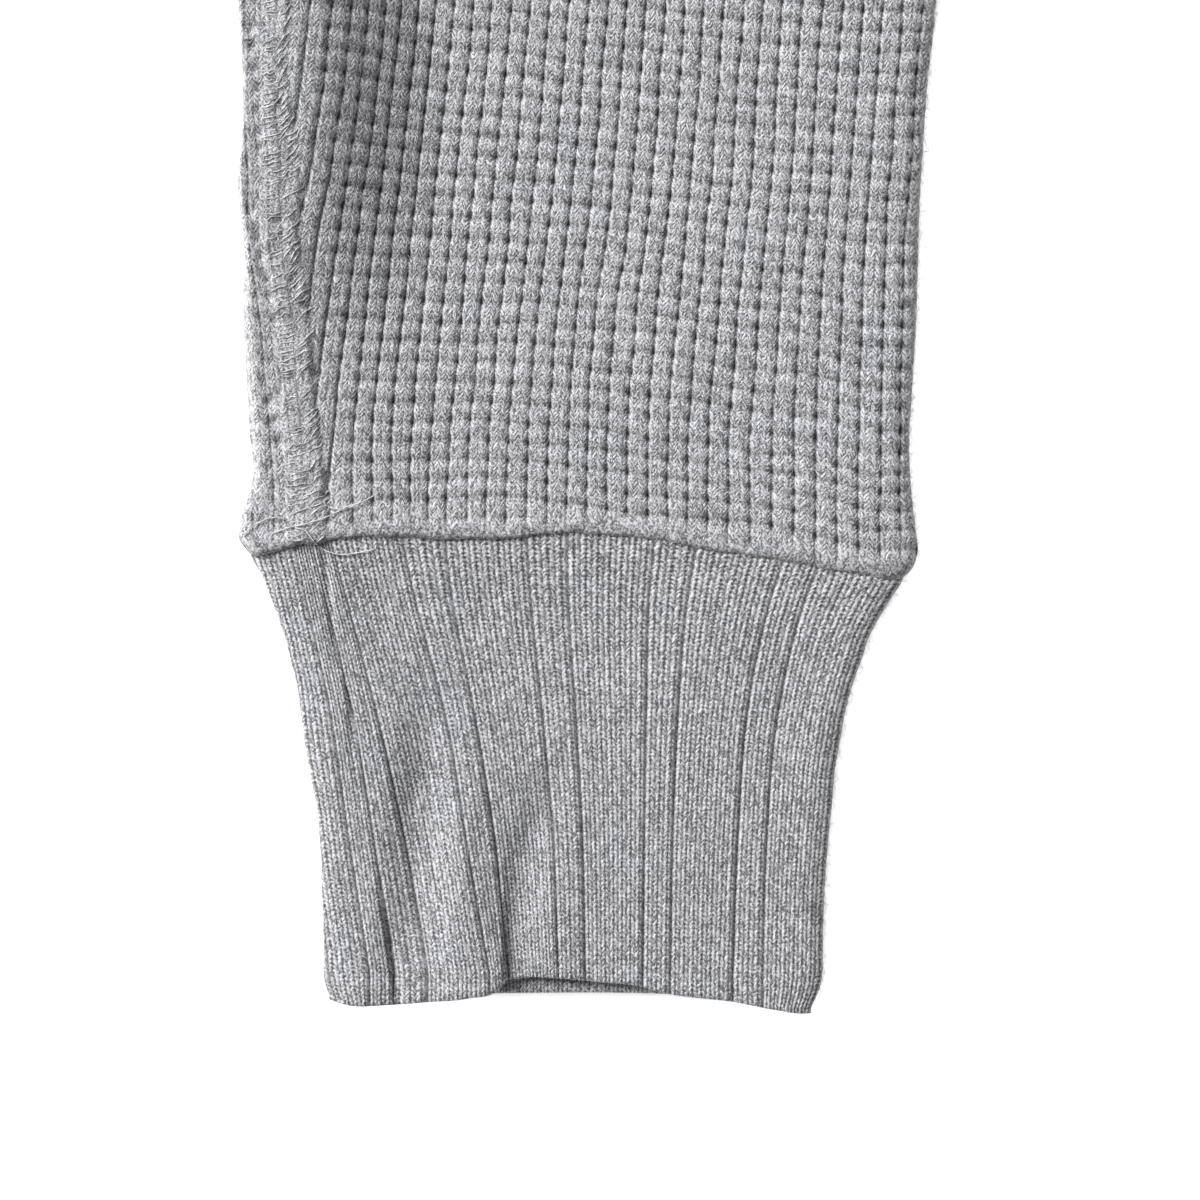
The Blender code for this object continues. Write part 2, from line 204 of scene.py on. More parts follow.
# columns, in mm: along, across, radius, depth, of small hollows where stitches pull the band down
BAND_PITS = (
    (-80.9, -53.0, 0.8, 0.7), (-78.3, -52.7, 0.8, 0.8), (-74.4, -52.2, 0.8, 0.7), (-71.3, -51.9, 0.7, 0.6),
    (-67.8, -51.9, 0.7, 0.6), (-64.4, -51.8, 0.7, 0.6), (-61.9, -51.5, 0.8, 0.8), (-51.5, -53.5, 0.7, 0.6),
    (-47.7, -52.4, 0.8, 0.8), (-44.5, -51.8, 0.7, 0.6), (-40.8, -50.8, 0.7, 0.6), (-38.1, -50.3, 0.8, 0.7),
    (-34.4, -49.8, 0.8, 0.7), (-24.1, -52.0, 0.7, 0.5), (-20.7, -50.9, 0.8, 0.7), (-17.7, -50.1, 0.8, 0.7),
    (-14.2, -49.3, 0.8, 0.8), (-9.8, -51.1, 0.7, 0.6), (-6.8, -50.0, 0.7, 0.6), (-75.0, -48.0, 0.7, 0.5),
    (-70.8, -47.8, 0.7, 0.6), (-69.1, -48.2, 0.7, 0.6), (-50.2, -48.6, 0.8, 0.8), (-36.8, -45.0, 0.7, 0.6),
    (-25.2, -46.8, 0.8, 0.8), (-25.7, -43.3, 0.8, 0.8), (-15.9, -45.5, 0.7, 0.5), (-8.8, -41.4, 0.8, 0.7),
    (-5.5, -41.9, 0.8, 0.8), (-55.2, -44.8, 0.8, 0.8),
)

# columns, in mm: along, across, half_width, of the flatlock band
UNDERARM_BAND = (
    (-345.0, -73.0, 3.0), (-230.0, -56.0, 3.0), (-120.0, -49.3, 2.4), (-87.4, -48.9, 2.3),
    (-76.0, -49.2, 2.1), (-69.6, -49.2, 2.4), (-64.0, -48.7, 3.0), (-56.3, -48.4, 3.1), (-51.2, -48.6, 3.2),
    (-45.6, -48.4, 2.9), (-39.2, -47.5, 3.0), (-31.1, -46.7, 2.9), (-24.6, -46.4, 2.9), (-18.0, -45.8, 3.0),
    (-8.1, -45.2, 3.3), (1.8, -44.9, 3.6), (4.0, -44.8, 3.7),
)

# columns, in mm: along, then across of the grooves numbered in COLUMN_NUMBERS, from the outer edge inwards
COLUMN_LINES = (
    (-96.0, 54.6, 31.4, 8.8, -13.1, -22.3, -28.2, -30.7, -33.2, -35.7, -38.7, -42.6),
    (-84.0, 53.6, 30.4, 7.9, -14.3, -23.6, -29.1, -31.6, -34.2, -36.8, -39.9, -43.6),
    (-72.0, 52.7, 29.7, 7.0, -15.5, -24.8, -30.3, -32.7, -35.3, -38.0, -41.4, -45.0),
    (-60.0, 51.8, 28.9, 6.0, -16.7, -26.1, -31.7, -34.2, -37.0, -39.9, -43.3, -46.8),
    (-48.0, 50.9, 27.7, 4.7, -18.0, -27.3, -33.3, -36.1, -39.1, -42.3, -46.0, -49.2),
    (-36.0, 50.6, 26.6, 3.1, -19.1, -28.7, -34.7, -37.7, -41.0, -44.3, -47.6, -50.9),
    (-24.0, 50.2, 25.6, 2.1, -20.3, -30.1, -36.2, -39.4, -42.7, -46.0, -49.3, -52.6),
    (-14.0, 50.1, 25.0, 1.7, -21.2, -30.7, -36.9, -40.5, -43.9, -47.2, -50.5, -53.8),
    (-6.0, 50.1, 25.0, 1.5, -21.7, -30.5, -37.2, -41.5, -44.9, -48.2, -51.5, -54.8),
)
COLUMN_NUMBERS = (1.0, 8.0, 15.0, 22.0, 25.0, 27.0, 28.0, 29.0, 30.0, 31.0, 32.0)
BAND_COLUMN = 34.5                                  # the number in the middle of the flatlock band

# columns, in mm: across, then along of the rows numbered in ROW_NUMBERS, from the shoulder to the cuff
ROW_LINES = (
    (-39.7, -88.8, -70.7, -52.5, -34.7, -17.6, -4.5), (-29.7, -88.0, -69.4, -51.9, -34.4, -17.6, -4.7),
    (-19.7, -86.3, -68.6, -51.4, -34.1, -17.8, -4.9), (-9.7, -85.3, -67.8, -50.7, -33.9, -17.3, -5.1),
    (0.3, -83.8, -66.6, -50.0, -33.3, -16.5, -4.0), (10.3, -82.8, -65.6, -49.0, -32.5, -15.1, -2.3),
    (20.3, -81.6, -64.1, -47.5, -31.0, -14.0, -1.5), (30.3, -80.4, -63.0, -46.0, -29.5, -12.4, -0.5),
    (40.3, -79.6, -62.1, -44.8, -28.5, -11.1, 1.5), (48.7, -78.7, -61.1, -43.5, -26.3, -9.0, 3.7),
)
ROW_NUMBERS = (0.0, 5.0, 10.0, 15.0, 20.0, 24.0)


def smooth_line(places, values, at):
    """Values between a table's rows: a cubic through them that leaves each row with the slope between
    its two neighbours."""
    places = np.asarray(places, float)
    values = np.asarray(values, float)
    slopes = np.gradient(values, places)
    at = np.clip(at, places[0], places[-1])
    left = np.clip(np.searchsorted(places, at) - 1, 0, len(places) - 2)
    step = places[left + 1] - places[left]
    t = (at - places[left]) / step
    return ((2 * t ** 3 - 3 * t ** 2 + 1) * values[left] + (t ** 3 - 2 * t ** 2 + t) * step * slopes[left]
            + (3 * t ** 2 - 2 * t ** 3) * values[left + 1] + (t ** 3 - t ** 2) * step * slopes[left + 1])


def ease(value, start, end):
    """0 before start, 1 after end, and a smooth step between them."""
    t = np.clip((value - start) / (end - start), 0.0, 1.0)
    return t * t * (3.0 - 2.0 * t)


LATTICE = 64


def uneven(u, v, seed):
    """Soft unevenness from -1 to 1: random values on a lattice of whole numbers, which repeats after
    LATTICE steps, eased in between."""
    lattice = np.random.default_rng(seed).uniform(-1.0, 1.0, (LATTICE, LATTICE))
    left, low = np.floor(u).astype(int), np.floor(v).astype(int)
    s, t = ease(u - left, 0.0, 1.0), ease(v - low, 0.0, 1.0)
    left, low, right, high = left % LATTICE, low % LATTICE, (left + 1) % LATTICE, (low + 1) % LATTICE
    a, b, c, d = lattice[left, low], lattice[right, low], lattice[left, high], lattice[right, high]
    return (a * (1 - s) + b * s) * (1 - t) + (c * (1 - s) + d * s) * t


def table_line(table, column, at):
    """One column of a table in mm, between its rows, over its first column."""
    table = np.array(table) * mm
    return smooth_line(table[:, 0], table[:, column], at)


def raised(plan, height):
    """Points at a height over their places in plan."""
    return np.concatenate([plan, height[..., None]], axis=-1)


def travel(line):
    """How far along a line of points each of them lies."""
    return np.concatenate([[0.0], np.cumsum(np.linalg.norm(np.diff(line, axis=0), axis=1))])


def at_travel(line, travelled, at):
    """Places in plan at distances along a line of points."""
    return np.stack([np.interp(at, travelled, line[:, axis]) for axis in (0, 1)], axis=-1)


def seam_dip(across):
    """Along place of the cuff seam, with the small waver that its stitches give it."""
    waver = SEAM_WAVER * uneven(across / WAVER_PITCH, 0.0 * across, 11)
    return table_line(SEAM_LINE, 1, across) + waver


def counted(at, lines, numbers, pitch):
    """Number at a place between numbered lines: it grows evenly from each line to the next, and by one
    for each pitch beyond the first line and the last."""
    before, after = (at - lines[0]) / pitch, (at - lines[-1]) / pitch
    number = numbers[0] + np.minimum(before, 0.0) + np.maximum(after, 0.0)
    for line, following, step in zip(lines, lines[1:], np.diff(numbers)):
        number = number + step * np.clip((at - line) / (following - line), 0.0, 1.0)
    return number


def band_at(along):
    """Across of the flatlock band's middle, and half its width."""
    return table_line(UNDERARM_BAND, 1, along), table_line(UNDERARM_BAND, 2, along)


def waffle_columns(along, across):
    """Number of the waffle column, from the outer edge inwards, between the lines of the table. Beyond
    the underarm band's middle the columns are counted on from the band."""
    lines = [-table_line(COLUMN_LINES, number + 1, along) for number in range(len(COLUMN_NUMBERS))]
    band = band_at(along)[0]
    beyond = BAND_COLUMN + (band - across) / COLUMN_PITCH
    return np.where(across < band, beyond, counted(-across, lines, COLUMN_NUMBERS, COLUMN_PITCH))


def waffle_rows(along, across):
    """Number of the waffle row: rows askew to the sleeve, a little closer together at the cuff."""
    lines = [table_line(ROW_LINES, number + 1, across) for number in range(len(ROW_NUMBERS))]
    return counted(along, lines, ROW_NUMBERS, ROW_PITCH)


def sleeve_edges(along):
    """Across of the underarm edge and of the outer edge, each between its own places in the table."""
    rows = np.array(SLEEVE_ROWS) * mm
    return smooth_line(rows[:, 0], rows[:, 1], along), smooth_line(rows[:, 2], rows[:, 3], along)


def rounded(distance, radius):
    """0 at a folded edge and 1 at radius from it, along a quarter of an ellipse."""
    return np.sqrt(1.0 - (1.0 - np.clip(distance / radius, 0.0, 1.0)) ** 2)


def seam_hump(along, across):
    """Height of the hump beside the underarm seam, which falls away towards the sleeve's middle."""
    return table_line(SEAM_HUMP, 1, along) * (1.0 - ease(across, HUMP_TOP, HUMP_FOOT))


# columns, in mm: start_along, end_along, across at start, middle and end, width, height
SLEEVE_CREASES = (
    (-30.0, 2.0, -26.0, -24.0, -22.0, 7.0, -0.45),
    (-34.0, -2.0, 24.0, 26.0, 27.0, 9.0, -0.5),
    (-58.0, -28.0, -3.0, 1.0, 6.0, 9.0, -0.2),
    (-16.0, 6.0, 40.0, 43.0, 44.0, 7.0, 0.4),
    (-120.0, -40.0, 14.0, 18.0, 20.0, 16.0, -0.35),
    (-330.0, -200.0, -60.0, -40.0, -10.0, 12.0, 2.2),
    (-330.0, -240.0, -40.0, -15.0, 20.0, 10.0, 1.8),
    (-300.0, -170.0, 60.0, 40.0, 25.0, 14.0, 1.5),
    (-250.0, -150.0, -5.0, 10.0, 12.0, 12.0, 1.2),
    (-420.0, -300.0, 10.0, 30.0, 50.0, 14.0, 1.6),
)


def lengthwise_creases(along, across, table):
    """Soft ridges and troughs that run down the cloth: each is a bell curve across a bent line, and
    swells and fades along it as half a sine wave."""
    height = np.zeros(np.broadcast(along, across).shape)
    for row in np.array(table) * mm:
        start, end, at_start, at_middle, at_end, width, crown = row
        t = np.clip((along - start) / (end - start), 0.0, 1.0)
        line = at_start * (1 - t) * (1 - 2 * t) + at_middle * 4 * t * (1 - t) + at_end * t * (2 * t - 1)
        height += crown * np.sin(math.pi * t) ** 1.2 * np.exp(-((across - line) / width) ** 2)
    return height


def pitted(along, across):
    """Depth of the small hollows: each a bell about its middle."""
    depth = np.zeros(np.broadcast(along, across).shape)
    for at_along, at_across, radius, deep in np.array(BAND_PITS) * mm:
        depth += deep * np.exp(-((along - at_along) ** 2 + (across - at_across) ** 2) / radius ** 2)
    return depth


def sleeve_height(along, across):
    """Height of the upper layer over the table, before its knit: flat, with the hump and the creases,
    a rolled end above the cuff seam, and rounded over to the folds."""
    left, right = sleeve_edges(along)
    above_seam = seam_dip(across) - along
    hump = seam_hump(along, across)
    lumps = (1.0 + 0.4 * uneven(across / (2.3 * mm), above_seam / (1.5 * mm), 12)
             + 0.4 * uneven(across / (6 * mm), 0.0 * across, 14))
    roll = ROLL_RISE * lumps * np.exp(-((above_seam - ROLL_MIDDLE) / ROLL_REACH) ** 2)
    tuck = TUCK_DEPTH * (1.0 - rounded(above_seam, TUCK_ROUNDING))
    band_across, band_half = band_at(along)
    band = 1.0 - ease(np.abs(across - band_across), band_half - 0.8 * mm, band_half + 0.2 * mm)
    puckers = BAND_RISE * (1.0 + 0.9 * uneven(along / (3.3 * mm), across / (5 * mm), 13)
                           + 0.5 * uneven(along / (1.3 * mm), across / (1.7 * mm), 15))
    flat = (HALF_HEIGHT + hump + roll - tuck + band * puckers
            + lengthwise_creases(along, across, SLEEVE_CREASES) - pitted(along, across))
    edge = rounded(across - left, HALF_HEIGHT + HUMP_ROUNDING * hump)
    edge = edge * rounded(right - across, OUTER_ROUNDING)
    return HALF_HEIGHT + np.maximum(flat, LEAST_RISE) * edge


def wavering(columns, rows):
    """The waffle's counts, moved a little by the soft unevenness of worn cloth."""
    return (columns + COLUMNS_WAVER * uneven(columns * 0.9, rows * 0.45, 3),
            rows + ROWS_WAVER * uneven(columns * 0.6, rows * 0.6, 4))


CELL_LOW, NOTCH_REACH, CELL_VARIES = 0.94, 0.3, 0.28    # the first two in rows
# half width of a groove, in columns, and what a notch and what plain cloth add to it
GROOVE_WIDTHS = (0.045, 0.04, 0.02)
# depth of a groove as a share of the deepest, and what a notch and what plain cloth add to it
GROOVE_SHARES = (0.18, 0.72, 0.5)
# depths in mm: groove, shoulders beside it, dip low in a cell, line between a column's two wales
WAFFLE_DEPTHS = (0.52, 0.18, 0.4, 0.06)


def waffle_relief(columns, rows, plain):
    """Depth of the waffle: round columns with a narrow groove at each whole column, deepest low in
    each cell, a soft dip low in each cell, and a faint one between the two wales of a column. Where
    plain is 1 there are no cells, only the grooves."""
    c, r = columns % 1.0, rows % 1.0
    beside = np.minimum(c, 1.0 - c)
    vary = 1.0 + CELL_VARIES * uneven(columns + 0.5, rows + 0.5, 5)
    from_low = np.minimum(np.abs(r - CELL_LOW), 1.0 - np.abs(r - CELL_LOW))
    notch = np.exp(-(from_low / NOTCH_REACH) ** 2) * (1.0 - plain)
    width = GROOVE_WIDTHS[0] + GROOVE_WIDTHS[1] * notch + GROOVE_WIDTHS[2] * plain
    share = GROOVE_SHARES[0] + GROOVE_SHARES[1] * notch * vary + GROOVE_SHARES[2] * plain
    groove = np.exp(-(beside / width) ** 2) * share
    shoulders = np.maximum(1.0 - ease(c, 0.0, 0.2), ease(c, 0.6, 1.0))
    dip = vary * (1.0 - np.sin(math.pi * from_low) ** 0.6) * (1.0 - plain)
    middle = np.exp(-((c - 0.5) / 0.08) ** 2)
    parts = zip(WAFFLE_DEPTHS, (groove, shoulders, dip, middle))
    return -mm * sum(depth * part for depth, part in parts)


def outward_normals(points):
    """Unit normals of a ring grid, from the cross product of its two directions."""
    across = np.roll(points, -1, axis=1) - np.roll(points, 1, axis=1)
    down = np.gradient(points, axis=0)
    normal = np.cross(down, across)
    return normal / np.maximum(np.linalg.norm(normal, axis=2, keepdims=True), 1e-12)


def quad_mesh(name, points, corners, counts, **marks):
    """Mesh of four-sided faces, with counts at each face's corners as its UV map "knit" and named
    marks on its points."""
    index = corners.reshape(-1)
    mesh = bpy.data.meshes.new(name)
    mesh.vertices.add(len(points))
    mesh.loops.add(len(index))
    mesh.polygons.add(len(index) // 4)
    mesh.vertices.foreach_set("co", points.reshape(-1).astype(np.float32))
    mesh.loops.foreach_set("vertex_index", index.astype(np.int32))
    mesh.polygons.foreach_set("loop_start", np.arange(0, len(index), 4, dtype=np.int32))
    mesh.polygons.foreach_set("use_smooth", np.ones(len(index) // 4, bool))
    mesh.update(calc_edges=True)
    mesh.uv_layers.new(name="knit").data.foreach_set("uv", counts.reshape(-1).astype(np.float32))
    for mark, values in marks.items():
        attribute = mesh.attributes.new(mark, "FLOAT", "POINT")
        attribute.data.foreach_set("value", values.reshape(-1).astype(np.float32))
    mesh.validate()
    return mesh


def cloth_mesh(name, points, knit, closed=(False, True), mirror=1.0, **marks):
    """Mesh over a grid of points that may close on itself along either axis. Its knit counts have
    one more row or column along each closed axis. Mirrored, its faces turn the other way round."""
    rows, columns = points.shape[:2]
    row, column = np.meshgrid(np.arange(rows - (not closed[0])), np.arange(columns - (not closed[1])),
                              indexing="ij")
    around = [(row, column), (row + 1, column), (row + 1, column + 1), (row, column + 1)]
    if mirror < 0.0:
        around = around[::-1]
    corners = np.stack([(r % rows) * columns + c % columns for r, c in around], axis=-1)
    counts = np.stack([knit[r, c] for r, c in around], axis=-2)
    return quad_mesh(name, (points * (mirror, 1.0, 1.0)).reshape(-1, 3), corners, counts, **marks)


def add_piece(mesh, material, slot, *nodes):
    """A piece of the top, named as its mesh, on the root body and in a material slot, in place of the
    nodes that it shows. The slot argument is not used."""
    mesh.materials.append(material)
    piece = bpy.data.objects.new(mesh.name, mesh)
    bpy.context.scene.collection.objects.link(piece)
    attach(piece, "root")
    if nodes:
        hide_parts(*nodes)
    return piece


def add_node(tree, kind, *values, **settings):
    """A shader node with its settings, its inputs filled in order by sockets or plain values."""
    node = tree.nodes.new(kind)
    for setting, value in settings.items():
        setattr(node, setting, value)
    for socket, value in zip(node.inputs, values):
        if isinstance(value, bpy.types.NodeSocket):
            tree.links.new(value, socket)
        elif value is not None:
            socket.default_value = value
    return node


def sums(operation, *values):
    """Result of an arithmetic node, in the tree of the sockets among its values."""
    tree = next(value.id_data for value in values if isinstance(value, bpy.types.NodeSocket))
    return add_node(tree, "ShaderNodeMath", *values, operation=operation).outputs[0]


def times(value, by):
    """A value times another."""
    return sums("MULTIPLY", value, by)


def minus(value, less):
    """A value less another."""
    return sums("SUBTRACT", value, less)


def times_plus(value, by, more):
    """A value times another, and more."""
    return sums("MULTIPLY_ADD", value, by, more)


def point(tree, x, y, z=0.0):
    """A place made of its three numbers."""
    return add_node(tree, "ShaderNodeCombineXYZ", x, y, z).outputs[0]


def noise(tree, place, scale, detail, roughness):
    """Soft noise about a half, scale bumps to each unit of the place."""
    return add_node(tree, "ShaderNodeTexNoise", place, None, scale, detail, roughness).outputs[0]


def mark(tree, name):
    """A mark that the mesh holds on its points."""
    return add_node(tree, "ShaderNodeAttribute", attribute_name=name).outputs["Fac"]


def remapped(tree, value, *ends):
    """A value carried from one range to another, each given by its two ends, and held at the ends."""
    return add_node(tree, "ShaderNodeMapRange", value, *ends).outputs[0]


def bell(value, width):
    """A bell curve: e to the minus square of value over width."""
    over = sums("ABSOLUTE", sums("DIVIDE", value, width))
    return sums("EXPONENT", times(sums("POWER", over, 2.0), -1.0))


def moved(value, noise, by):
    """A value moved up and down by a noise, by so much times the noise's way from a half."""
    return times_plus(minus(noise, 0.5), by, value)


def finish_surface(tree, colour, height, **softness):
    """Joins a colour, and a bump of this height in metres, to the material's shader, with its sheen."""
    bump = add_node(tree, "ShaderNodeBump")
    bump.inputs["Strength"].default_value = 1.0
    bump.inputs["Distance"].default_value = 1.0
    tree.links.new(height, bump.inputs["Height"])
    shader = tree.nodes["Principled BSDF"]
    tree.links.new(colour, shader.inputs["Base Color"])
    tree.links.new(bump.outputs["Normal"], shader.inputs["Normal"])
    for name, value in softness.items():
        shader.inputs[name.replace("_", " ")].default_value = value


def new_group(name, inputs, outputs):
    """An empty node group with named inputs and outputs, and its input and output nodes."""
    tree = bpy.data.node_groups.new(name, "ShaderNodeTree")
    for socket, kind in inputs.items():
        tree.interface.new_socket(socket, in_out="INPUT", socket_type=kind)
    for socket, kind in outputs.items():
        tree.interface.new_socket(socket, in_out="OUTPUT", socket_type=kind)
    return tree, tree.nodes.new("NodeGroupInput"), tree.nodes.new("NodeGroupOutput")


FLOAT, COLOUR = "NodeSocketFloat", "NodeSocketColor"

# in wales and in courses: how far noise moves a stitch, and half of the hole between its legs
STITCH_SWAY, STITCH_HOLE = (0.3, 1.05), (0.24, 0.25)
HOLE_DEPTH, EDGE_HOLE = 0.8, 0.22                   # shares of a leg's height; the second at a wale's edge
LEG_ROUNDING, LEG_TOP = 0.6, 0.85                   # power of a leg's section; height of legs not parted
BEAD_SHARE, LEG_TONE = 0.75, 0.14                   # of a leg's height that beads; of its own shade


def stitch_group():
    """Plain knit stitches. In each wale two legs lean apart upwards: a leg is a hump across its half
    of the wale and a hump along the courses, which are counted on a slant, and a small hole opens
    between the two at each course. Strands are fine streaks of noise that run with the legs, each
    leg a little lighter or darker."""
    tree, given, result = new_group(
        "knit_stitches", {name: FLOAT for name in ("Wales", "Courses", "Slant", "Parted", "Opening")},
        {name: FLOAT for name in ("Height", "Strands", "Blotches", "Holes")})
    wales, courses, slant, parting, opening = given.outputs[:5]
    shake = add_node(tree, "ShaderNodeTexNoise", point(tree, wales, courses), None, 1.3, 2.0, 0.6)
    shift = add_node(tree, "ShaderNodeSeparateXYZ", shake.outputs["Color"]).outputs
    wales = moved(wales, shift[0], STITCH_SWAY[0])
    courses = moved(courses, shift[1], STITCH_SWAY[1])
    from_middle = sums("ABSOLUTE", times_plus(sums("FRACT", wales), 2.0, -1.0))
    from_edge = minus(1.0, from_middle)

    lay = times_plus(from_middle, slant, courses)
    hump = sums("SINE", times(from_middle, math.pi))
    joined = times(from_edge, times_plus(parting, -0.8, 1.1))
    leg = sums("MAXIMUM", sums("POWER", hump, LEG_ROUNDING), joined)
    leg = sums("MAXIMUM", leg, times(from_middle, 0.4))
    bead = sums("SINE", times(sums("FRACT", lay), math.pi))
    bead = times_plus(bead, BEAD_SHARE, 1.0 - BEAD_SHARE)
    parted = times_plus(minus(leg, LEG_TOP), parting, LEG_TOP)
    legs = times(parted, bead)

    along_hole = bell(minus(sums("FRACT", courses), 0.5), STITCH_HOLE[1])
    holes = times(bell(from_middle, STITCH_HOLE[0]), along_hole)
    between = times(bell(from_edge, 0.16), EDGE_HOLE)
    holes = times(sums("MAXIMUM", holes, between), opening)
    height = minus(legs, times(holes, HOLE_DEPTH))

    leg_place = point(tree, sums("FLOOR", times(wales, 2.0)), sums("FLOOR", lay))
    tone = add_node(tree, "ShaderNodeTexWhiteNoise", leg_place, noise_dimensions="2D").outputs[0]
    streaks = point(tree, times(wales, 3.1), times(lay, 2.2), 7.0)
    strands = moved(noise(tree, streaks, 1.0, 3.0, 0.85), tone, LEG_TONE)
    slow = point(tree, times(wales, 0.27), times(courses, 0.24), 3.0)
    blotches = noise(tree, slow, 1.0, 2.0, 0.6)
    for made, output in zip((height, strands, blotches, holes), result.inputs):
        tree.links.new(made, output)
    return tree


KNIT_DARK, KNIT_LIGHT = (0.11, 0.11, 0.117, 1.0), (0.69, 0.685, 0.705, 1.0)
KNIT_PAINTED_SHADE = (0.05, 0.05, 0.055, 1.0)                # painted shade, low in the grooves and holes
KNIT_HUES = ((0.3, (0.96, 1.0, 1.01, 1.0)), (0.7, (1.0, 0.99, 1.05, 1.0)), (0.5, (0.99, 0.98, 1.0, 1.0)))
FUZZ_SCALE, HUE_SCALE = 2800.0, 90.0                # bumps of their noises to a metre
STRAND_SPAN = (0.385, 0.615)                        # strands from all dark to all light
FUZZ_SHARE, BLOTCH_SHARE, HEIGHT_LIGHT_AND_SHADE = 3.4, 0.26, 0.75    # that move the share of light fibres; the last is painted light on high stitches and painted shade on low ones
MATTED_FUZZ, MATTED_PALER, MATTED_PAINTED_SHADE = 0.5, 0.27, 0.36  # more fuzz; paler where matted, partly painted light; and darker where all matted, painted shade on the roll


def yarn_group():
    """Heather yarn: dark and light fibres mixed by the strands and by fuzz that lies every way, with
    slow changes of tone and hue. It has painted light where the stitches stand high and painted
    shade where they lie low; it is paler where matted, partly painted light, with painted shade
    where all matted; and it has painted shade where it lies deep."""
    masks = {name: FLOAT for name in ("Strands", "Blotches", "Height", "Depth", "Matted")}
    tree, given, result = new_group("heather_yarn", {**masks, "Dark": COLOUR, "Light": COLOUR},
                                    {"Colour": COLOUR, "Fuzz": FLOAT})
    strands, blotches, height, depth, matted, dark, light = given.outputs[:7]
    place = add_node(tree, "ShaderNodeTexCoord").outputs["Object"]
    fuzz = noise(tree, place, FUZZ_SCALE, 2.0, 0.8)
    share = remapped(tree, strands, *STRAND_SPAN, 0.0, 1.0)
    share = moved(share, fuzz, times_plus(matted, MATTED_FUZZ, FUZZ_SHARE))
    share = moved(share, blotches, BLOTCH_SHARE)
    # painted light where the stitches stand high, painted shade where they lie low
    share = moved(share, height, HEIGHT_LIGHT_AND_SHADE)
    # paler where matted, partly painted light on the band and the strip beside it; darker where all matted,
    # painted shade on the roll
    paler = times_plus(matted, -MATTED_PAINTED_SHADE, MATTED_PALER)
    share = times_plus(matted, paler, share)
    fibre = add_node(tree, "ShaderNodeMix", share, data_type="RGBA", clamp_factor=True)
    tree.links.new(dark, fibre.inputs["A"])
    tree.links.new(light, fibre.inputs["B"])
    hue = add_node(tree, "ShaderNodeValToRGB", noise(tree, place, HUE_SCALE, 3.0, 0.6))
    stops = hue.color_ramp.elements
    for stop, (position, colour) in zip((stops[0], stops[1], stops.new(0.5)), KNIT_HUES):
        stop.position = position
        stop.color = colour
    tinted = add_node(tree, "ShaderNodeMix", data_type="RGBA", blend_type="MULTIPLY")
    tinted.inputs["Factor"].default_value = 1.0
    tree.links.new(fibre.outputs["Result"], tinted.inputs["A"])
    tree.links.new(hue.outputs["Color"], tinted.inputs["B"])
    # painted shade: the colour goes dark where the depth mask marks grooves and holes
    deep = add_node(tree, "ShaderNodeMix", depth, data_type="RGBA", clamp_factor=True)
    tree.links.new(tinted.outputs["Result"], deep.inputs["A"])
    deep.inputs["B"].default_value = KNIT_PAINTED_SHADE
    tree.links.new(deep.outputs["Result"], result.inputs["Colour"])
    tree.links.new(fuzz, result.inputs["Fuzz"])
    return tree


STITCHES, YARN = stitch_group(), yarn_group()
KNIT_ROUGHNESS = 0.95
MATT_HIDES, MATT_LEVEL = 0.75, 0.35                 # of the stitches, and the level height it leaves
STRAND_BUMP, FUZZ_BUMP, HOLE_PAINTED_SHADE = 1.1, 0.9, 0.75  # the first two against the stitches' own height; the last, painted shade in the holes, against the depth mask


def finish_knit(tree, wales, courses, slant, parted, opening, depth, relief, stitch_depth):
    """Joins the stitches and the yarn to a material's shader, with the relief under the stitches.
    Where the cloth is matted the stitches fade into plain fuzz. The stitches' holes, and what depth marks,
    are darkened in colour: painted shade."""
    stitches = add_node(tree, "ShaderNodeGroup", wales, courses, slant, parted, opening, node_tree=STITCHES)
    matted = mark(tree, "matted")
    clear = times_plus(matted, -MATT_HIDES, 1.0)
    height = times(stitches.outputs["Height"], clear)
    level = times_plus(matted, MATT_LEVEL, height)
    # painted shade in the stitches' holes, added to the painted shade of the depth mask
    deep = times_plus(stitches.outputs["Holes"], HOLE_PAINTED_SHADE, depth)
    deep = times(deep, clear)
    yarn = add_node(tree, "ShaderNodeGroup", stitches.outputs["Strands"], stitches.outputs["Blotches"],
                    level, deep, matted, KNIT_DARK, KNIT_LIGHT, node_tree=YARN)
    fibres = times_plus(stitches.outputs["Strands"], STRAND_BUMP, height)
    fibres = times_plus(yarn.outputs["Fuzz"], FUZZ_BUMP, fibres)
    finish_surface(tree, yarn.outputs["Colour"], times_plus(fibres, stitch_depth, relief),
                   Specular_IOR_Level=0.15, Sheen_Weight=0.25, Sheen_Roughness=0.6)


def knit_counts(tree):
    """The two counts that a piece's UV map holds."""
    counts = add_node(tree, "ShaderNodeUVMap", uv_map="knit").outputs[0]
    return add_node(tree, "ShaderNodeSeparateXYZ", counts).outputs[:2]


# low place of a cell and reach of the shade about it, in rows: at a groove's notch and in the dip
NOTCH_SHADE, DIP_SHADE = (0.93, 0.31), (0.96, 0.13)
SHADED_GROOVE = (0.042, 0.06, 0.03)                 # width in columns, more at a notch, more in plain cloth
FRAY = (0.2, 1.6)                                   # of that width: least, and with the noise
# how deep and how darkly shaded: a notch, any groove, more in plain cloth, and a dip; the darkness is
# painted shade
NOTCH_DARK, GROOVE_DARK, PLAIN_DARK, DIP_DARK = 1.9, 0.1, 0.4, 0.55
WAFFLE_BUMP, WAFFLE_PAINTED_SHADE = 0.9 * mm, 0.65           # of the shaded waffle: depth of its bump, and darkness of its painted shade
WORKED_TAKES, MATTED_TAKES = 0.7, 0.85              # off the bump and off the whole shade
WAFFLE_SLANT, WAFFLE_PARTED, WAFFLE_OPENING, WAFFLE_STITCH = 1.5, 0.6, 0.3, 0.13 * mm


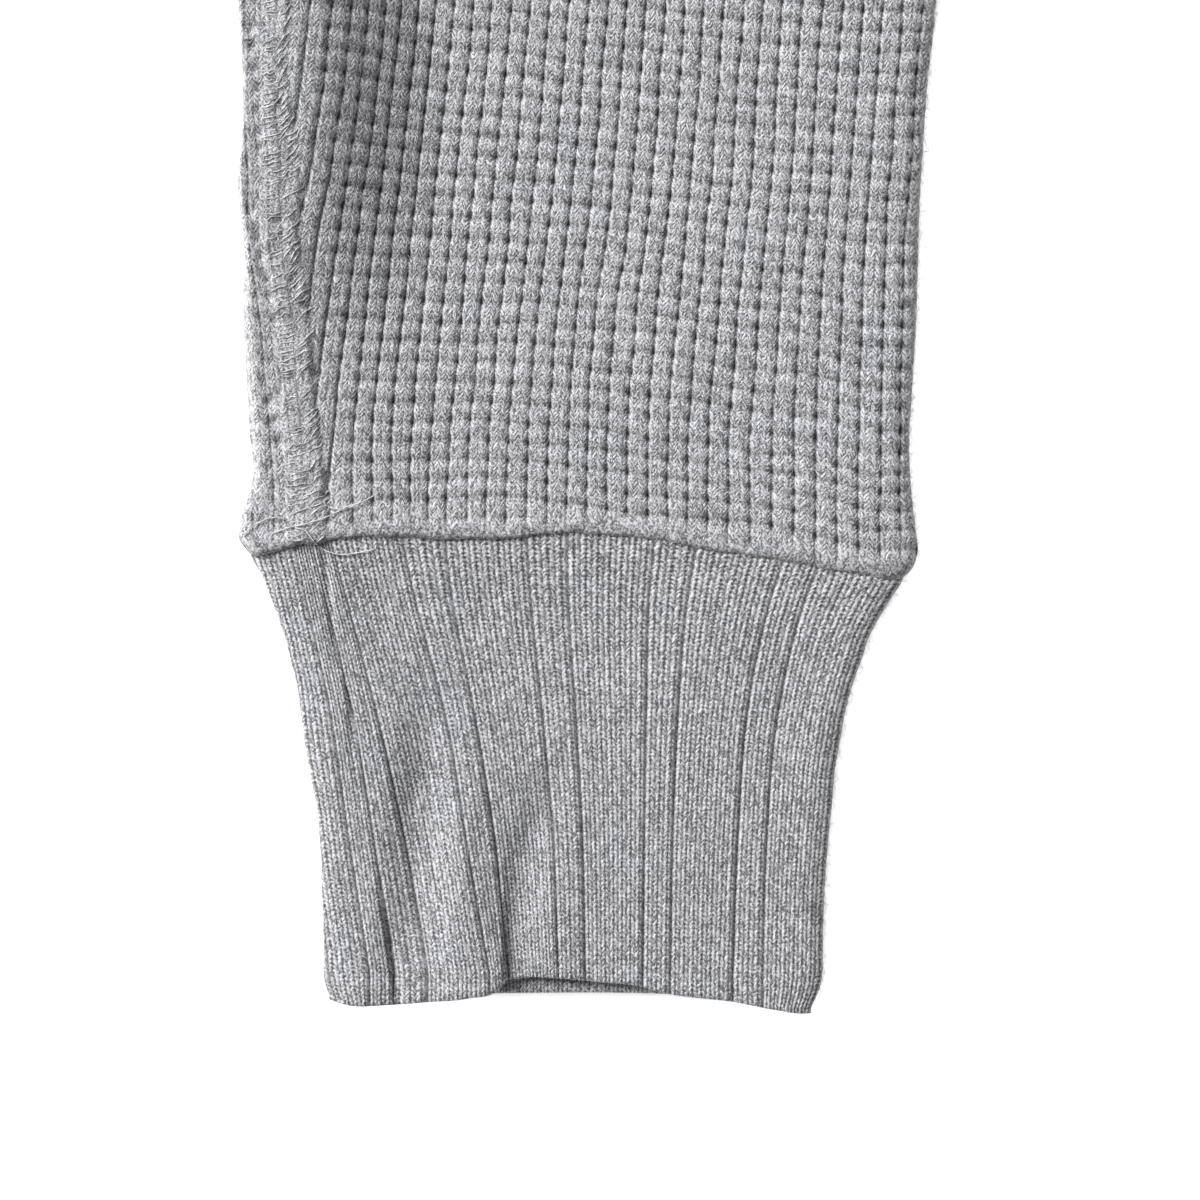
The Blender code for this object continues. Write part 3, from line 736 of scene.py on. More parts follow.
def waffle_material():
    """Waffle knit. UV counts the waffle's columns and rows: a column is two wales, a row is four
    courses. A groove is a bell beside each whole column, frayed by noise, and widest and darkest at
    the notch low in each cell, and a dip is a bell along the rows. Where the mesh has no relief of
    its own ("worked" is 0) they are a bump, and where "plain" is 1 there are only the grooves. Their
    darkness is painted shade in the colour, also where the mesh has relief."""
    material, tree = new_material("waffle_knit", KNIT_ROUGHNESS)
    columns, rows = knit_counts(tree)
    worked, plain, matted = (mark(tree, name) for name in ("worked", "plain", "matted"))
    celled = minus(1.0, plain)
    place = point(tree, columns, rows, 5.0)
    vary, frayed = noise(tree, place, 1.1, 1.0, 0.5), noise(tree, place, 9.0, 1.0, 0.5)

    def low_in_cell(low, reach):
        """A bell about the low place of each cell, along the rows."""
        away = sums("PINGPONG", minus(rows, low), 0.5)
        return times(bell(away, reach), celled)

    low = low_in_cell(*NOTCH_SHADE)
    width = times_plus(times_plus(low, SHADED_GROOVE[1], SHADED_GROOVE[0]),
                       times_plus(frayed, FRAY[1], FRAY[0]), times(plain, SHADED_GROOVE[2]))
    dark = times_plus(times(low, vary), NOTCH_DARK, times_plus(plain, PLAIN_DARK, GROOVE_DARK))
    notch = times(bell(sums("PINGPONG", columns, 0.5), width), dark)
    dip = times(low_in_cell(*DIP_SHADE), times(vary, DIP_DARK))
    sunk = times(sums("ADD", dip, notch), times_plus(matted, -MATTED_TAKES, 1.0))
    unworked = times_plus(worked, -WORKED_TAKES, 1.0)
    relief = times(times(sunk, unworked), -WAFFLE_BUMP)
    wales, courses = times(columns, 2.0), times(rows, 4.0)
    # the grooves, notches and dips are darkened in colour: painted shade
    finish_knit(tree, wales, courses, WAFFLE_SLANT, WAFFLE_PARTED, WAFFLE_OPENING,
                times(sunk, WAFFLE_PAINTED_SHADE), relief, WAFFLE_STITCH)
    return material


WAFFLE_KNIT = waffle_material()

LAST_ALIGNED = 28                                   # columns up to this one are followed by the mesh
ACROSS_COLUMN = np.array([0.0, 0.09, 0.19, 0.33, 0.5, 0.67, 0.81, 0.91])
ABOUT_COLUMNS = 34.0                                # across the whole sleeve
SETTLING_STEPS, SETTLING_SHARE = 16, 0.8            # that bring the mesh's lines onto the columns
EDGE_TURNS = 10                                     # points that round an edge over
CHORD_START, CHORD_RISE = 4.4 * mm, 4.5 * mm        # along of the sleeve's end, and its rise across


def sleeve_places(stations, detailed):
    """Along and across of the upper layer's grid: lines across the sleeve, and on each of them points
    that follow the waffle's grooves, close together where the edges round over."""
    table = np.array(SLEEVE_ROWS)
    centre = (table[:, 0] + table[:, 2]) / 2.0 * mm
    row = [smooth_line(centre, table[:, column], stations)[:, None] for column in range(6)]
    under_along, under_across, outer_along, outer_across = (value * mm for value in row[:4])
    armhole_bow, seam_bow = row[4], row[5]
    width = outer_across - under_across
    turns = 1.0 - np.cos(np.linspace(0.0, math.pi / 2.0, EDGE_TURNS))
    hump = table_line(SEAM_HUMP, 1, under_along)
    left_share = (HALF_HEIGHT + HUMP_ROUNDING * hump) * turns / width
    right_share = 1.0 - HALF_HEIGHT * turns[::-1] / width

    def along_line(share):
        """Along and across at shares of each line: straight, and bent to the seam at the sleeve's end."""
        across = under_across + share * width
        chord = under_along + share * (outer_along - under_along)
        seam_chord = CHORD_START + share * CHORD_RISE
        return chord + seam_bow * (seam_dip(across) - seam_chord), across

    if detailed:
        numbers = (np.arange(LAST_ALIGNED, 1, -1)[:, None] - ACROSS_COLUMN).reshape(-1)
        numbers = np.append(numbers, 1.0)
    else:
        numbers = np.arange(LAST_ALIGNED, 0, -1.0)
    share = 1.0 - numbers / ABOUT_COLUMNS + 0.0 * stations[:, None]
    for _ in range(SETTLING_STEPS):
        along, across = along_line(share)
        off = waffle_columns(along, across) - numbers
        share = share + SETTLING_SHARE * off * COLUMN_PITCH / width
    wrist = np.argmin(np.abs(stations - CLOSE_FROM))
    share[:wrist] = share[wrist]
    blend = np.linspace(0.0, 1.0, 54 if detailed else 10)[1:-1]
    beside = left_share[:, -1:] + blend * (share[:, :1] - left_share[:, -1:])
    last = share[:, -1:] + np.linspace(0.0, 1.0, 6)[1:-1] * (right_share[:, :1] - share[:, -1:])
    shares = np.concatenate([left_share, beside, share, last, right_share], axis=1)
    along, across = along_line(shares)
    return along, across, shares, armhole_bow


def bezier(t, start, start_handle, end_handle, end):
    """Points of a cubic Bezier curve, t from 0 at its start to 1 at its end."""
    t = np.asarray(t)[..., None]
    return ((1 - t) ** 3 * start + 3 * t * (1 - t) ** 2 * start_handle
            + 3 * t ** 2 * (1 - t) * end_handle + t ** 3 * end)


def armhole(t):
    """The armhole seam, from the underarm to the shoulder tip."""
    start_handle, end_handle = UNDERARM + (-20 * mm, 60 * mm), SHOULDER_TIP + (0.0, -80 * mm)
    return bezier(t, UNDERARM, start_handle, end_handle, SHOULDER_TIP)


def armhole_line(shares):
    """How far the armhole bends from its chord, at shares of its length."""
    line = armhole(np.linspace(0.0, 1.0, 65))
    travelled = travel(line)
    on_curve = at_travel(line, travelled / travelled[-1], shares)
    return on_curve - (UNDERARM + shares[..., None] * (SHOULDER_TIP - UNDERARM))


FIRST_LINE, ROLL_LINE, LAST_LINE = -443 * mm, -4 * mm, 8.1 * mm     # along, in the sleeve's middle
CLOSE_STEP, WIDE_STEP = 0.53 * mm, 2.0 * mm         # between lines, on the left sleeve and the right
LOWER_TUCK, LOWER_TUCK_ROUNDING = 1.8 * mm, 1.3 * mm    # of the lower layer into the seam
ROLL_TALL = (3.4, 1.1)                              # of the roll above the seam in mm, and its change
BAND_HIDES, CRUSH_HIDES = 0.9, 0.8                  # of the waffle, in the band and beyond it
BAND_FELT, CRUSH_FELT = 0.5, 0.3                    # matting of the yarn there
PLAIN_MOST = 0.8                                    # beside the band, where the cells are pulled flat


def sleeve_skin(name, detailed, mirror):
    """Both layers of the sleeve as one ring, from the armhole to its rolled end. The waffle's depth is
    put in where the mesh is close, and fades in the roll, in the band and where cloth is crushed."""
    wrist_step = CLOSE_STEP if detailed else WIDE_STEP
    stations = np.concatenate([
        np.linspace(FIRST_LINE, CLOSE_FROM - 4 * mm, 66),
        np.arange(CLOSE_FROM, ROLL_LINE - 0.5 * mm, wrist_step), np.linspace(ROLL_LINE, LAST_LINE, 27)])
    along, across, shares, armhole_bow = sleeve_places(stations, detailed)
    plan = on_sleeve(along, across) + armhole_bow[..., None] * armhole_line(shares)
    plan[0] += 0.3 * mm * ACROSS

    # lower layer: the same lines back to the underarm edge, flat on the table
    points_across = shares.shape[1]
    keep = np.concatenate([np.arange(EDGE_TURNS), np.arange(EDGE_TURNS, points_across - EDGE_TURNS, 9),
                           np.arange(points_across - EDGE_TURNS, points_across)])[::-1][1:-1]
    left, right = sleeve_edges(along[:, keep])
    above_seam = seam_dip(across) - along
    edge = rounded(across[:, keep] - left, HALF_HEIGHT) * rounded(right - across[:, keep], HALF_HEIGHT)
    tuck = LOWER_TUCK * (1.0 - rounded(above_seam[:, keep], LOWER_TUCK_ROUNDING))
    below = HALF_HEIGHT - (HALF_HEIGHT - tuck) * edge
    upper, lower = raised(plan, sleeve_height(along, across)), raised(plan[:, keep], below)
    points = np.concatenate([upper, lower], axis=1)

    columns, rows = wavering(waffle_columns(along, across), waffle_rows(along, across))
    lower_columns = columns[:, -1:] - (across[:, -1:] - across[:, keep]) / COLUMN_PITCH
    knit = np.stack([np.concatenate([columns, lower_columns, lower_columns[:, -1:]], axis=1),
                     np.concatenate([rows, rows[:, keep], rows[:, :1]], axis=1)], axis=2)
    band_across, band_half = band_at(along)
    in_band = 1.0 - ease(np.abs(across - band_across), band_half - 0.4 * mm, band_half + 0.6 * mm)
    crushed = ease(band_across - band_half - across, 0.0, 1.5 * mm)
    past_band = ease(across - band_across - band_half, 2.0 * mm, 8.0 * mm)
    plain = PLAIN_MOST * (1.0 - past_band) * (1.0 - crushed)
    worked = ease(along, CLOSE_FROM - 2 * mm, CLOSE_FROM + 6 * mm) if detailed else np.zeros(along.shape)
    roll_height = (ROLL_TALL[0] + ROLL_TALL[1] * uneven(columns * 1.3, 0.0 * rows, 17)) * mm
    off_roll = ease(above_seam, roll_height - 1.8 * mm, roll_height + 1.2 * mm)
    strength = off_roll * (1.0 - BAND_HIDES * in_band) * (1.0 - CRUSH_HIDES * crushed)
    felt = np.maximum(np.maximum(1.0 - off_roll, BAND_FELT * in_band), CRUSH_FELT * crushed)

    def on_upper(values):
        """Values of the upper layer, with none on the lower."""
        return np.pad(values, ((0, 0), (0, len(keep))))

    relief = on_upper(worked * strength * waffle_relief(columns, rows, plain))
    points = points + relief[..., None] * outward_normals(points)
    return cloth_mesh(name, points, knit, mirror=mirror, matted=on_upper(felt), plain=on_upper(plain),
                      worked=on_upper(np.maximum(worked, 1.0 - strength)))


sleeve_left = add_piece(sleeve_skin("sleeve_left_cloth", True, 1.0), WAFFLE_KNIT, "waffle_knit",
                        "sleeve_left")

# ------------------------------------------------------------------ left cuff
# A doubled tube of fine rib with needles left out in pairs, which leaves narrow grooves. It is sewn
# into the sleeve's end, fans out to it, and folds inside at the mouth.
# columns, in mm: along, under_across, outer_across
CUFF_EDGES = (
    (-1.0, -55.0, 54.6), (4.0, -54.4, 54.4), (8.5, -52.0, 54.0), (11.7, -50.8, 52.0), (15.0, -49.7, 50.0),
    (18.3, -48.5, 48.3), (21.7, -47.7, 47.2), (25.0, -46.8, 46.0), (30.0, -46.1, 44.6), (35.0, -45.5, 43.7),
    (40.0, -44.6, 42.8), (46.0, -43.4, 42.3), (52.0, -42.8, 41.7), (60.0, -42.5, 41.1), (70.0, -42.2, 40.8),
    (74.0, -42.2, 40.7), (76.0, -41.8, 40.3), (78.0, -40.8, 39.5), (80.0, -39.4, 38.6), (82.0, -38.6, 38.0),
)

# columns: wale, then its place across in mm at 0, 10, 30, 50 and 73.3 mm along; a groove runs down each
CUFF_GROOVES = (
    (-6, -47.3, -45.2, -40.9, -38.0, -34.4), (-3, -44.5, -42.0, -37.4, -33.9, -30.4),
    (0, -41.3, -38.6, -33.3, -28.8, -24.9), (7, -29.3, -27.2, -22.1, -18.6, -14.4),
    (10, -22.1, -20.9, -17.1, -13.8, -11.3), (17, -8.4, -7.8, -5.8, -4.1, -3.2),
    (20, -1.6, -1.5, -0.3, 0.8, 1.3), (27, 12.9, 12.0, 11.4, 11.1, 10.8),
    (30, 20.3, 18.5, 16.7, 15.8, 15.4), (37, 36.0, 32.5, 28.2, 26.6, 25.7),
    (40, 42.6, 38.3, 33.3, 31.4, 30.7),
)
GROOVE_STATIONS = np.array([0.0, 10.0, 30.0, 50.0, 73.3]) * mm

# columns: along in mm, wales that show between the last groove and the underarm fold
EDGE_WALES = ((-1.0, 4.8), (12.0, 3.6), (28.0, 3.1), (52.0, 3.1), (74.0, 4.6), (82.0, 4.8))
WALE_AT_UNDER, WALE_AT_OUTER = -11.5, 47.0

# columns, in mm: across, along: the mouth of the upper layer, drawn back right of the fold
MOUTH_LINE = (
    (-43.0, 76.6), (-38.0, 78.1), (-31.3, 78.0), (-24.7, 77.5), (-18.0, 76.8), (-13.0, 75.3), (-12.0, 74.2),
    (-9.7, 73.6), (-3.0, 73.6), (3.7, 74.2), (10.3, 74.9), (13.7, 75.9), (18.7, 76.7), (25.3, 77.4),
    (32.0, 78.7), (38.7, 79.4), (42.0, 78.6),
)
LOWER_MOUTH_LINE = ((-43.0, 76.2), (-30.0, 76.7), (-11.0, 76.3), (10.0, 76.3), (24.0, 76.9), (42.0, 78.1))
RIB_TOP = 2.0 * mm                                  # upper layer's surface over the half height
UNDER_ROUNDING, RIB_OUTER_ROUNDING = 10.0 * mm, 4.5 * mm
OUT_OF_SEAM = 0.1 * mm                              # rise of the cloth just below the seam
FOLD_RISE = 1.7 * mm                                # of the fold that stands up at the mouth
FOLD_ACROSS = (-26 * mm, -13.5 * mm, -12.8 * mm, -11.2 * mm)    # foot, top, top and foot of its step
LEAST_RIB_RISE = 0.25 * mm

# columns, in mm: start_along, end_along, across at start, middle and end, width, height
CUFF_CREASES = (
    (16.0, 86.0, -23.5, -26.0, -30.0, 4.0, -1.5),
    (36.0, 84.0, -3.0, -9.0, -9.5, 3.6, -1.0),
    (36.0, 92.0, -17.5, -19.5, -18.5, 3.4, 0.9),
    (2.0, 30.0, -37.0, -34.0, -30.0, 4.5, -0.5),
    (14.0, 48.0, 33.0, 33.5, 33.0, 4.0, -0.5),
    (28.0, 76.0, -38.0, -37.0, -35.5, 2.6, -0.35),
    (20.0, 70.0, 14.0, 17.0, 20.0, 7.0, 0.3),
    (4.0, 24.0, 24.0, 26.0, 29.0, 6.0, 0.35),
    (56.0, 84.0, -33.3, -30.9, -28.7, 0.6, -0.8),
    (28.0, 62.0, -24.0, -27.0, -29.5, 4.0, -0.5),
    (38.0, 76.0, -4.0, -9.5, -13.5, 3.5, -0.45),
    (-4.0, 26.0, -30.0, -12.0, 4.0, 12.0, -0.3),
    (-6.0, 26.0, -43.3, -41.2, -39.3, 0.6, -0.5),
    (22.0, 42.0, -38.3, -37.4, -36.6, 0.6, -0.5),
)


def cuff_edges(along):
    """Across of the cuff's underarm edge and of its outer edge."""
    return table_line(CUFF_EDGES, 1, along), table_line(CUFF_EDGES, 2, along)


def groove_places(along):
    """Places across of every groove and both edges at each station along, a row for each station."""
    under, outer = cuff_edges(along)
    lines = [smooth_line(GROOVE_STATIONS, np.array(row[1:]) * mm, along) for row in CUFF_GROOVES]
    return np.stack([under, *lines, outer], axis=-1)


def cuff_height(along, across):
    """Height of the cuff's upper layer over the table: it comes up out of the seam, is creased, and
    stands up in a fold at the mouth that drops at a step."""
    under, outer = cuff_edges(along)
    into_seam = 1.0 - ease(along - seam_dip(across), 0.0, 10.0 * mm)
    foot, top, step_top, step_foot = FOLD_ACROSS
    at_mouth = ease(along, 52 * mm, 76 * mm)
    fold = ease(across, foot, top) * (1.0 - ease(across, step_top, step_foot)) * at_mouth
    flat = (RIB_TOP + OUT_OF_SEAM * into_seam + FOLD_RISE * fold
            + lengthwise_creases(along, across, CUFF_CREASES))
    edge = rounded(across - under, UNDER_ROUNDING) * rounded(outer - across, RIB_OUTER_ROUNDING)
    return HALF_HEIGHT + np.maximum(flat, LEAST_RIB_RISE) * edge


OUT_WALES = np.array([row[0] for row in CUFF_GROOVES])      # the left-out needles
GROOVE_WALES = np.array([WALE_AT_UNDER, *OUT_WALES, WALE_AT_OUTER])
WALE_DIP, LEG_DIP = 0.04 * mm, 0.1 * mm             # between two wales, and between a wale's two legs
OUT_DEPTH, OUT_HALF_WIDTH, OUT_VARIES = 0.42 * mm, 0.22, 0.45   # of a groove, the second in wales
OUT_AT_SEAM = 0.35                                  # share of its depth where it starts at the seam


def rib_relief(wales, along):
    """Rounded wales, with a narrow groove at each place where needles were left out, deeper in some
    stretches than in others."""
    fine = -WALE_DIP * (1.0 - np.abs(np.sin(math.pi * wales)) ** 0.8)
    fine -= LEG_DIP * (1.0 - np.abs(np.sin(2.0 * math.pi * wales)) ** 0.8)
    nearest = np.abs(wales[..., None] - OUT_WALES).min(axis=-1)
    stretches = 1.0 + OUT_VARIES * uneven(along / (13 * mm), np.round(wales / 3.4) + 40.0, 16)
    from_seam = OUT_AT_SEAM + (1.0 - OUT_AT_SEAM) * ease(along, 5 * mm, 35 * mm)
    return fine - OUT_DEPTH * stretches * np.exp(-(nearest / OUT_HALF_WIDTH) ** 2) * from_seam


COURSE_PITCH, WALE_PITCH = 0.73 * mm, 1.62 * mm     # of the rib as it lies
CUFF_LENGTH, CUFF_WALL_GAP = 78 * mm, 0.15 * mm
LOWER_RISE, LOWER_RISE_ROUNDING = 2.0 * mm, 1.6 * mm    # of the lower layer into the seam
LIP_REACH = 0.8 * mm                                # of the round lip beyond the mouth line


def cuff_skin(name, detailed, mirror):
    """Both layers of the cuff as one ring, from the seam to the mouth and a little way back inside."""
    per_wale = 6 if detailed else 2
    wale_count = int((WALE_AT_OUTER - WALE_AT_UNDER) * per_wale) + 1
    wales = np.linspace(WALE_AT_UNDER, WALE_AT_OUTER, wale_count)
    at_seam, below_seam = np.linspace(0.0, 0.06, 9), np.linspace(0.08, 1.0, 110 if detailed else 40)
    reach = np.concatenate([at_seam, below_seam])[:, None]

    # each point's place down its wale: from the seam line to the mouth line
    gap = np.clip(np.searchsorted(GROOVE_WALES, wales) - 1, 0, len(GROOVE_WALES) - 2)
    part = (wales - GROOVE_WALES[gap]) / (GROOVE_WALES[gap + 1] - GROOVE_WALES[gap])
    column = np.arange(wale_count)
    along = np.repeat(reach * CUFF_LENGTH, wale_count, axis=1)
    for _ in range(4):
        lines = groove_places(along)
        nearer, farther = lines[:, column, gap], lines[:, column, gap + 1]
        across = nearer + part * (farther - nearer)
        start = seam_dip(across) - 0.8 * mm
        along = start + reach * (table_line(MOUTH_LINE, 1, across) - start)
        lower_along = start + reach * (table_line(LOWER_MOUTH_LINE, 1, across) - start)
    upper = raised(on_sleeve(along, across), cuff_height(along, across))
    under, outer = across[:, :1], across[:, -1:]
    edge = rounded(across - under, 2.3 * mm) * rounded(outer - across, 2.2 * mm)
    rise = LOWER_RISE * (1.0 - rounded(along - seam_dip(across), LOWER_RISE_ROUNDING))
    low = HALF_HEIGHT - (HALF_HEIGHT - rise) * edge
    keep = np.arange(wale_count)[::-1][1:-1]
    keep = keep[np.r_[0:12, 12:len(keep) - 12:4, len(keep) - 12:len(keep)]] if detailed else keep
    lower = raised(on_sleeve(lower_along, across), low)[:, keep]
    points = np.concatenate([upper, lower], axis=1)

    # wales run off over the underarm fold: fewer of them show where the cuff narrows
    first_groove = GROOVE_WALES[1]
    edge_share = table_line(EDGE_WALES, 1, along) / mm / (first_groove - WALE_AT_UNDER)
    shown = np.where(wales < first_groove, first_groove + (wales - first_groove) * edge_share, wales)
    relief = np.pad(rib_relief(shown, along), ((0, 0), (0, len(keep))))
    points = points + relief[..., None] * outward_normals(points)

    # the lip: half round over the edge of each layer, then back inside
    courses = along / COURSE_PITCH
    courses = np.concatenate([courses, courses[:, keep]], axis=1)
    lower_wales = np.broadcast_to(2 * WALE_AT_OUTER - wales[keep], (len(shown), len(keep)))
    shown = np.concatenate([shown, lower_wales], axis=1)
    layer = np.concatenate([np.ones(wale_count), -np.ones(len(keep))])
    mouth = points[-1]
    half_rise = (mouth[:, 2] - HALF_HEIGHT) * 0.5
    lip = [raised(mouth[:, :2] + LIP_REACH * math.sin(turn) * ALONG,
                  HALF_HEIGHT + half_rise * (1.0 + math.cos(turn))
                  + CUFF_WALL_GAP * layer * (1.0 - math.cos(turn)))
           for turn in np.linspace(0.0, math.pi, 7)[1:]]
    inside = [lip[-1] - np.array([*(ALONG * back), 0.0]) for back in (3 * mm, 8 * mm)]
    points = np.concatenate([points, np.stack(lip + inside)], axis=0)
    past_mouth = np.append(0.35 * np.arange(1, 7), (6.0, 12.0))[:, None]
    courses = np.concatenate([courses, courses[-1] + past_mouth])
    shown = np.concatenate([shown, np.repeat(shown[-1:], len(past_mouth), axis=0)])
    knit = np.stack([shown, courses], axis=2)
    knit = np.concatenate([knit, knit[:, -1:]], axis=1)
    return cloth_mesh(name, points, knit, mirror=mirror)


RIB_REPEAT, SECOND_GROOVE = 10.0, 7.0               # wales from groove to groove in turn: 7, then 3
RIB_GROOVE_SHADE, RIB_GROOVE_PAINTED_SHADE = 0.24, 0.32      # half its width in wales, and darkness of its painted shade
RIB_SLANT, RIB_PARTED, RIB_BUMP, RIB_STITCH = -1.1, 1.0, 0.07 * mm, 0.11 * mm


def rib_material():
    """Fine rib. UV counts its wales and courses. A groove is a bell about each left-out needle, with
    painted shade that darkens down the first 50 courses while the stitches close a little."""
    material, tree = new_material("rib_knit", KNIT_ROUGHNESS)
    wales, courses = knit_counts(tree)
    in_repeat = sums("FLOORED_MODULO", wales, RIB_REPEAT)
    half = RIB_REPEAT / 2.0
    first = sums("ABSOLUTE", sums("WRAP", in_repeat, half, -half))
    second = sums("ABSOLUTE", sums("WRAP", minus(in_repeat, SECOND_GROOVE), half, -half))
    groove = bell(sums("MINIMUM", first, second), RIB_GROOVE_SHADE)
    deeper = remapped(tree, courses, 5.0, 50.0, 0.12, 1.0)
    # painted shade in the grooves
    depth = times(times(groove, deeper), RIB_GROOVE_PAINTED_SHADE)
    relief = times(groove, -RIB_BUMP)
    opening = remapped(tree, courses, 3.0, 35.0, 1.45, 0.95)
    finish_knit(tree, wales, courses, RIB_SLANT, RIB_PARTED, opening, depth, relief, RIB_STITCH)
    return material


RIB_KNIT = rib_material()
cuff_left = add_piece(cuff_skin("cuff_left_rib", True, 1.0), RIB_KNIT, "rib_knit", "cuff_left")

# ------------------------------------------------------------------ right sleeve and cuff
# The same cut as the left ones, turned over, out of the same knits.
sleeve_right = add_piece(sleeve_skin("sleeve_right_cloth", False, -1.0), WAFFLE_KNIT, "waffle_knit",
                         "sleeve_right")
cuff_right = add_piece(cuff_skin("cuff_right_rib", False, -1.0), RIB_KNIT, "rib_knit", "cuff_right")

# ------------------------------------------------------------------ front and back
# Two panels of the same waffle knit, joined at the shoulders and sides. Both have a turned hem, and
# the front's neck is cut deeper. They lie on each other, the back flat on the table.
NECK_POINT = np.array([92 * mm, HIGH_POINT])
HEM_CORNER = np.array([262 * mm, HIGH_POINT - 690 * mm])
SHOULDER_WAY = (SHOULDER_TIP - NECK_POINT) / np.linalg.norm(SHOULDER_TIP - NECK_POINT)
SHOULDER_OUT = np.array([-SHOULDER_WAY[1], SHOULDER_WAY[0]])
WAFFLE_WALL = 2.2 * mm
HEM_DEPTH, HEM_EXTRA, HEM_DRAWN_IN = 20 * mm, 0.45 * mm, 0.35 * mm

# drop of the neck at its middle, reach of the curve at the shoulder, what an inset takes off that
# reach, and the curve's reach at its middle as a share of half the neck's width
FRONT_NECK, BACK_NECK = (95 * mm, 58 * mm, 0.8, 0.56), (22 * mm, 16 * mm, 0.0, 0.52)

# shares of half the hem's width: beyond the first, lines up the panel end at the armhole, and inside
# the second at the neck
ARMHOLE_SHARE, NECK_SHARE = 0.84, 0.33

# columns, in mm: start_y, end_y, x at start, middle and end, width, height
BODY_CREASES = (
    (-330.0, -60.0, -150.0, -138.0, -120.0, 15.0, 1.7), (-210.0, 84.0, 176.0, 190.0, 232.0, 11.0, 2.4),
    (-120.0, 92.0, -168.0, -200.0, -238.0, 12.0, 2.6), (-300.0, -110.0, 60.0, 74.0, 96.0, 18.0, 1.5),
    (-70.0, 150.0, 34.0, 22.0, -12.0, 20.0, 1.2), (-346.0, -240.0, -44.0, -30.0, -22.0, 14.0, 1.4),
    (96.0, 262.0, 146.0, 172.0, 200.0, 11.0, 1.9), (118.0, 284.0, -140.0, -166.0, -196.0, 11.0, 1.7),
    (-346.0, -210.0, 172.0, 166.0, 152.0, 13.0, 1.6), (-20.0, 70.0, 196.0, 226.0, 254.0, 7.0, 1.8),
    (-10.0, 64.0, -200.0, -230.0, -256.0, 7.0, 1.6), (-260.0, -150.0, -216.0, -210.0, -196.0, 9.0, 1.2),
)


def neck_edge(shape, t, inset):
    """The neck's half on the left arm's side, from the shoulder (t is 0) to its middle, drawn into the
    opening by inset."""
    drop, reach, reach_loss, middle_share = shape
    t, inset = np.broadcast_arrays(t, inset)
    end = NECK_POINT - inset[..., None] * SHOULDER_WAY
    middle = np.stack([0.0 * inset, HIGH_POINT - drop + inset], axis=-1)
    end_handle = end - (reach - reach_loss * inset)[..., None] * SHOULDER_OUT
    middle_handle = middle + np.stack([middle_share * end[..., 0], 0.0 * inset], axis=-1)
    return bezier(t, end, end_handle, middle_handle, middle)


def panel_top(share, neck):
    """Where a line up the panel ends, by its share of half the hem: at the armhole, the shoulder or
    the neck."""
    side = np.abs(share)
    up_armhole = armhole(np.clip((1.0 - side) / (1.0 - ARMHOLE_SHARE), 0.0, 1.0))
    in_shoulder = np.clip((ARMHOLE_SHARE - side) / (ARMHOLE_SHARE - NECK_SHARE), 0.0, 1.0)[:, None]
    on_shoulder = SHOULDER_TIP + in_shoulder * (NECK_POINT - SHOULDER_TIP)
    on_neck = neck_edge(neck, np.clip(1.0 - side / NECK_SHARE, 0.0, 1.0), 0.0)
    top = np.where((side > NECK_SHARE)[:, None], on_shoulder, on_neck)
    top = np.where((side > ARMHOLE_SHARE)[:, None], up_armhole, top)
    return top * np.stack([np.where(share < 0.0, -1.0, 1.0), np.ones(len(share))], axis=1)


def front_height(x, y):
    """Height of the front over the table: flat, creased, and thicker at its doubled hem, which the
    stitches draw in."""
    up = y - HEM_CORNER[1]
    hem = HEM_EXTRA * (1.0 - ease(up, HEM_DEPTH - 1.0 * mm, HEM_DEPTH + 1.0 * mm))
    drawn_in = HEM_DRAWN_IN * np.exp(-((up - HEM_DEPTH + 1.5 * mm) / (1.5 * mm)) ** 2)
    return 2.0 * HALF_HEIGHT + hem - drawn_in + lengthwise_creases(y, x, BODY_CREASES)


def turned_edges(height, edges):
    """Brings a surface down to the rim's height at each edge, along a quarter of an ellipse."""
    for away, rim, radius in edges:
        height = rim + (height - rim) * rounded(away, radius)
    return height


def two_faced_mesh(name, outer, inner, knit, upwards):
    """Closed mesh of two grids of points that share their border."""
    rows, columns = outer.shape[:2]
    number = np.arange(rows * columns).reshape(rows, columns)
    inside = np.zeros((rows, columns), bool)
    inside[1:-1, 1:-1] = True
    inner_number = number.copy()
    inner_number[inside] = rows * columns + np.arange(inside.sum())

    def faces(numbers, upwards):
        """Corners of each face of a grid of numbered points, and their knit counts."""
        around = [(slice(None, -1), slice(None, -1)), (slice(None, -1), slice(1, None)),
                  (slice(1, None), slice(1, None)), (slice(1, None), slice(None, -1))]
        around = around if upwards else around[::-1]
        return (np.stack([numbers[part] for part in around], axis=-1).reshape(-1, 4),
                np.stack([knit[part] for part in around], axis=-2).reshape(-1, 4, 2))

    outer_corners, outer_counts = faces(number, upwards)
    inner_corners, inner_counts = faces(inner_number, not upwards)
    return quad_mesh(name, np.concatenate([outer.reshape(-1, 3), inner[inside]]),
                     np.concatenate([outer_corners, inner_corners]),
                     np.concatenate([outer_counts, inner_counts]))


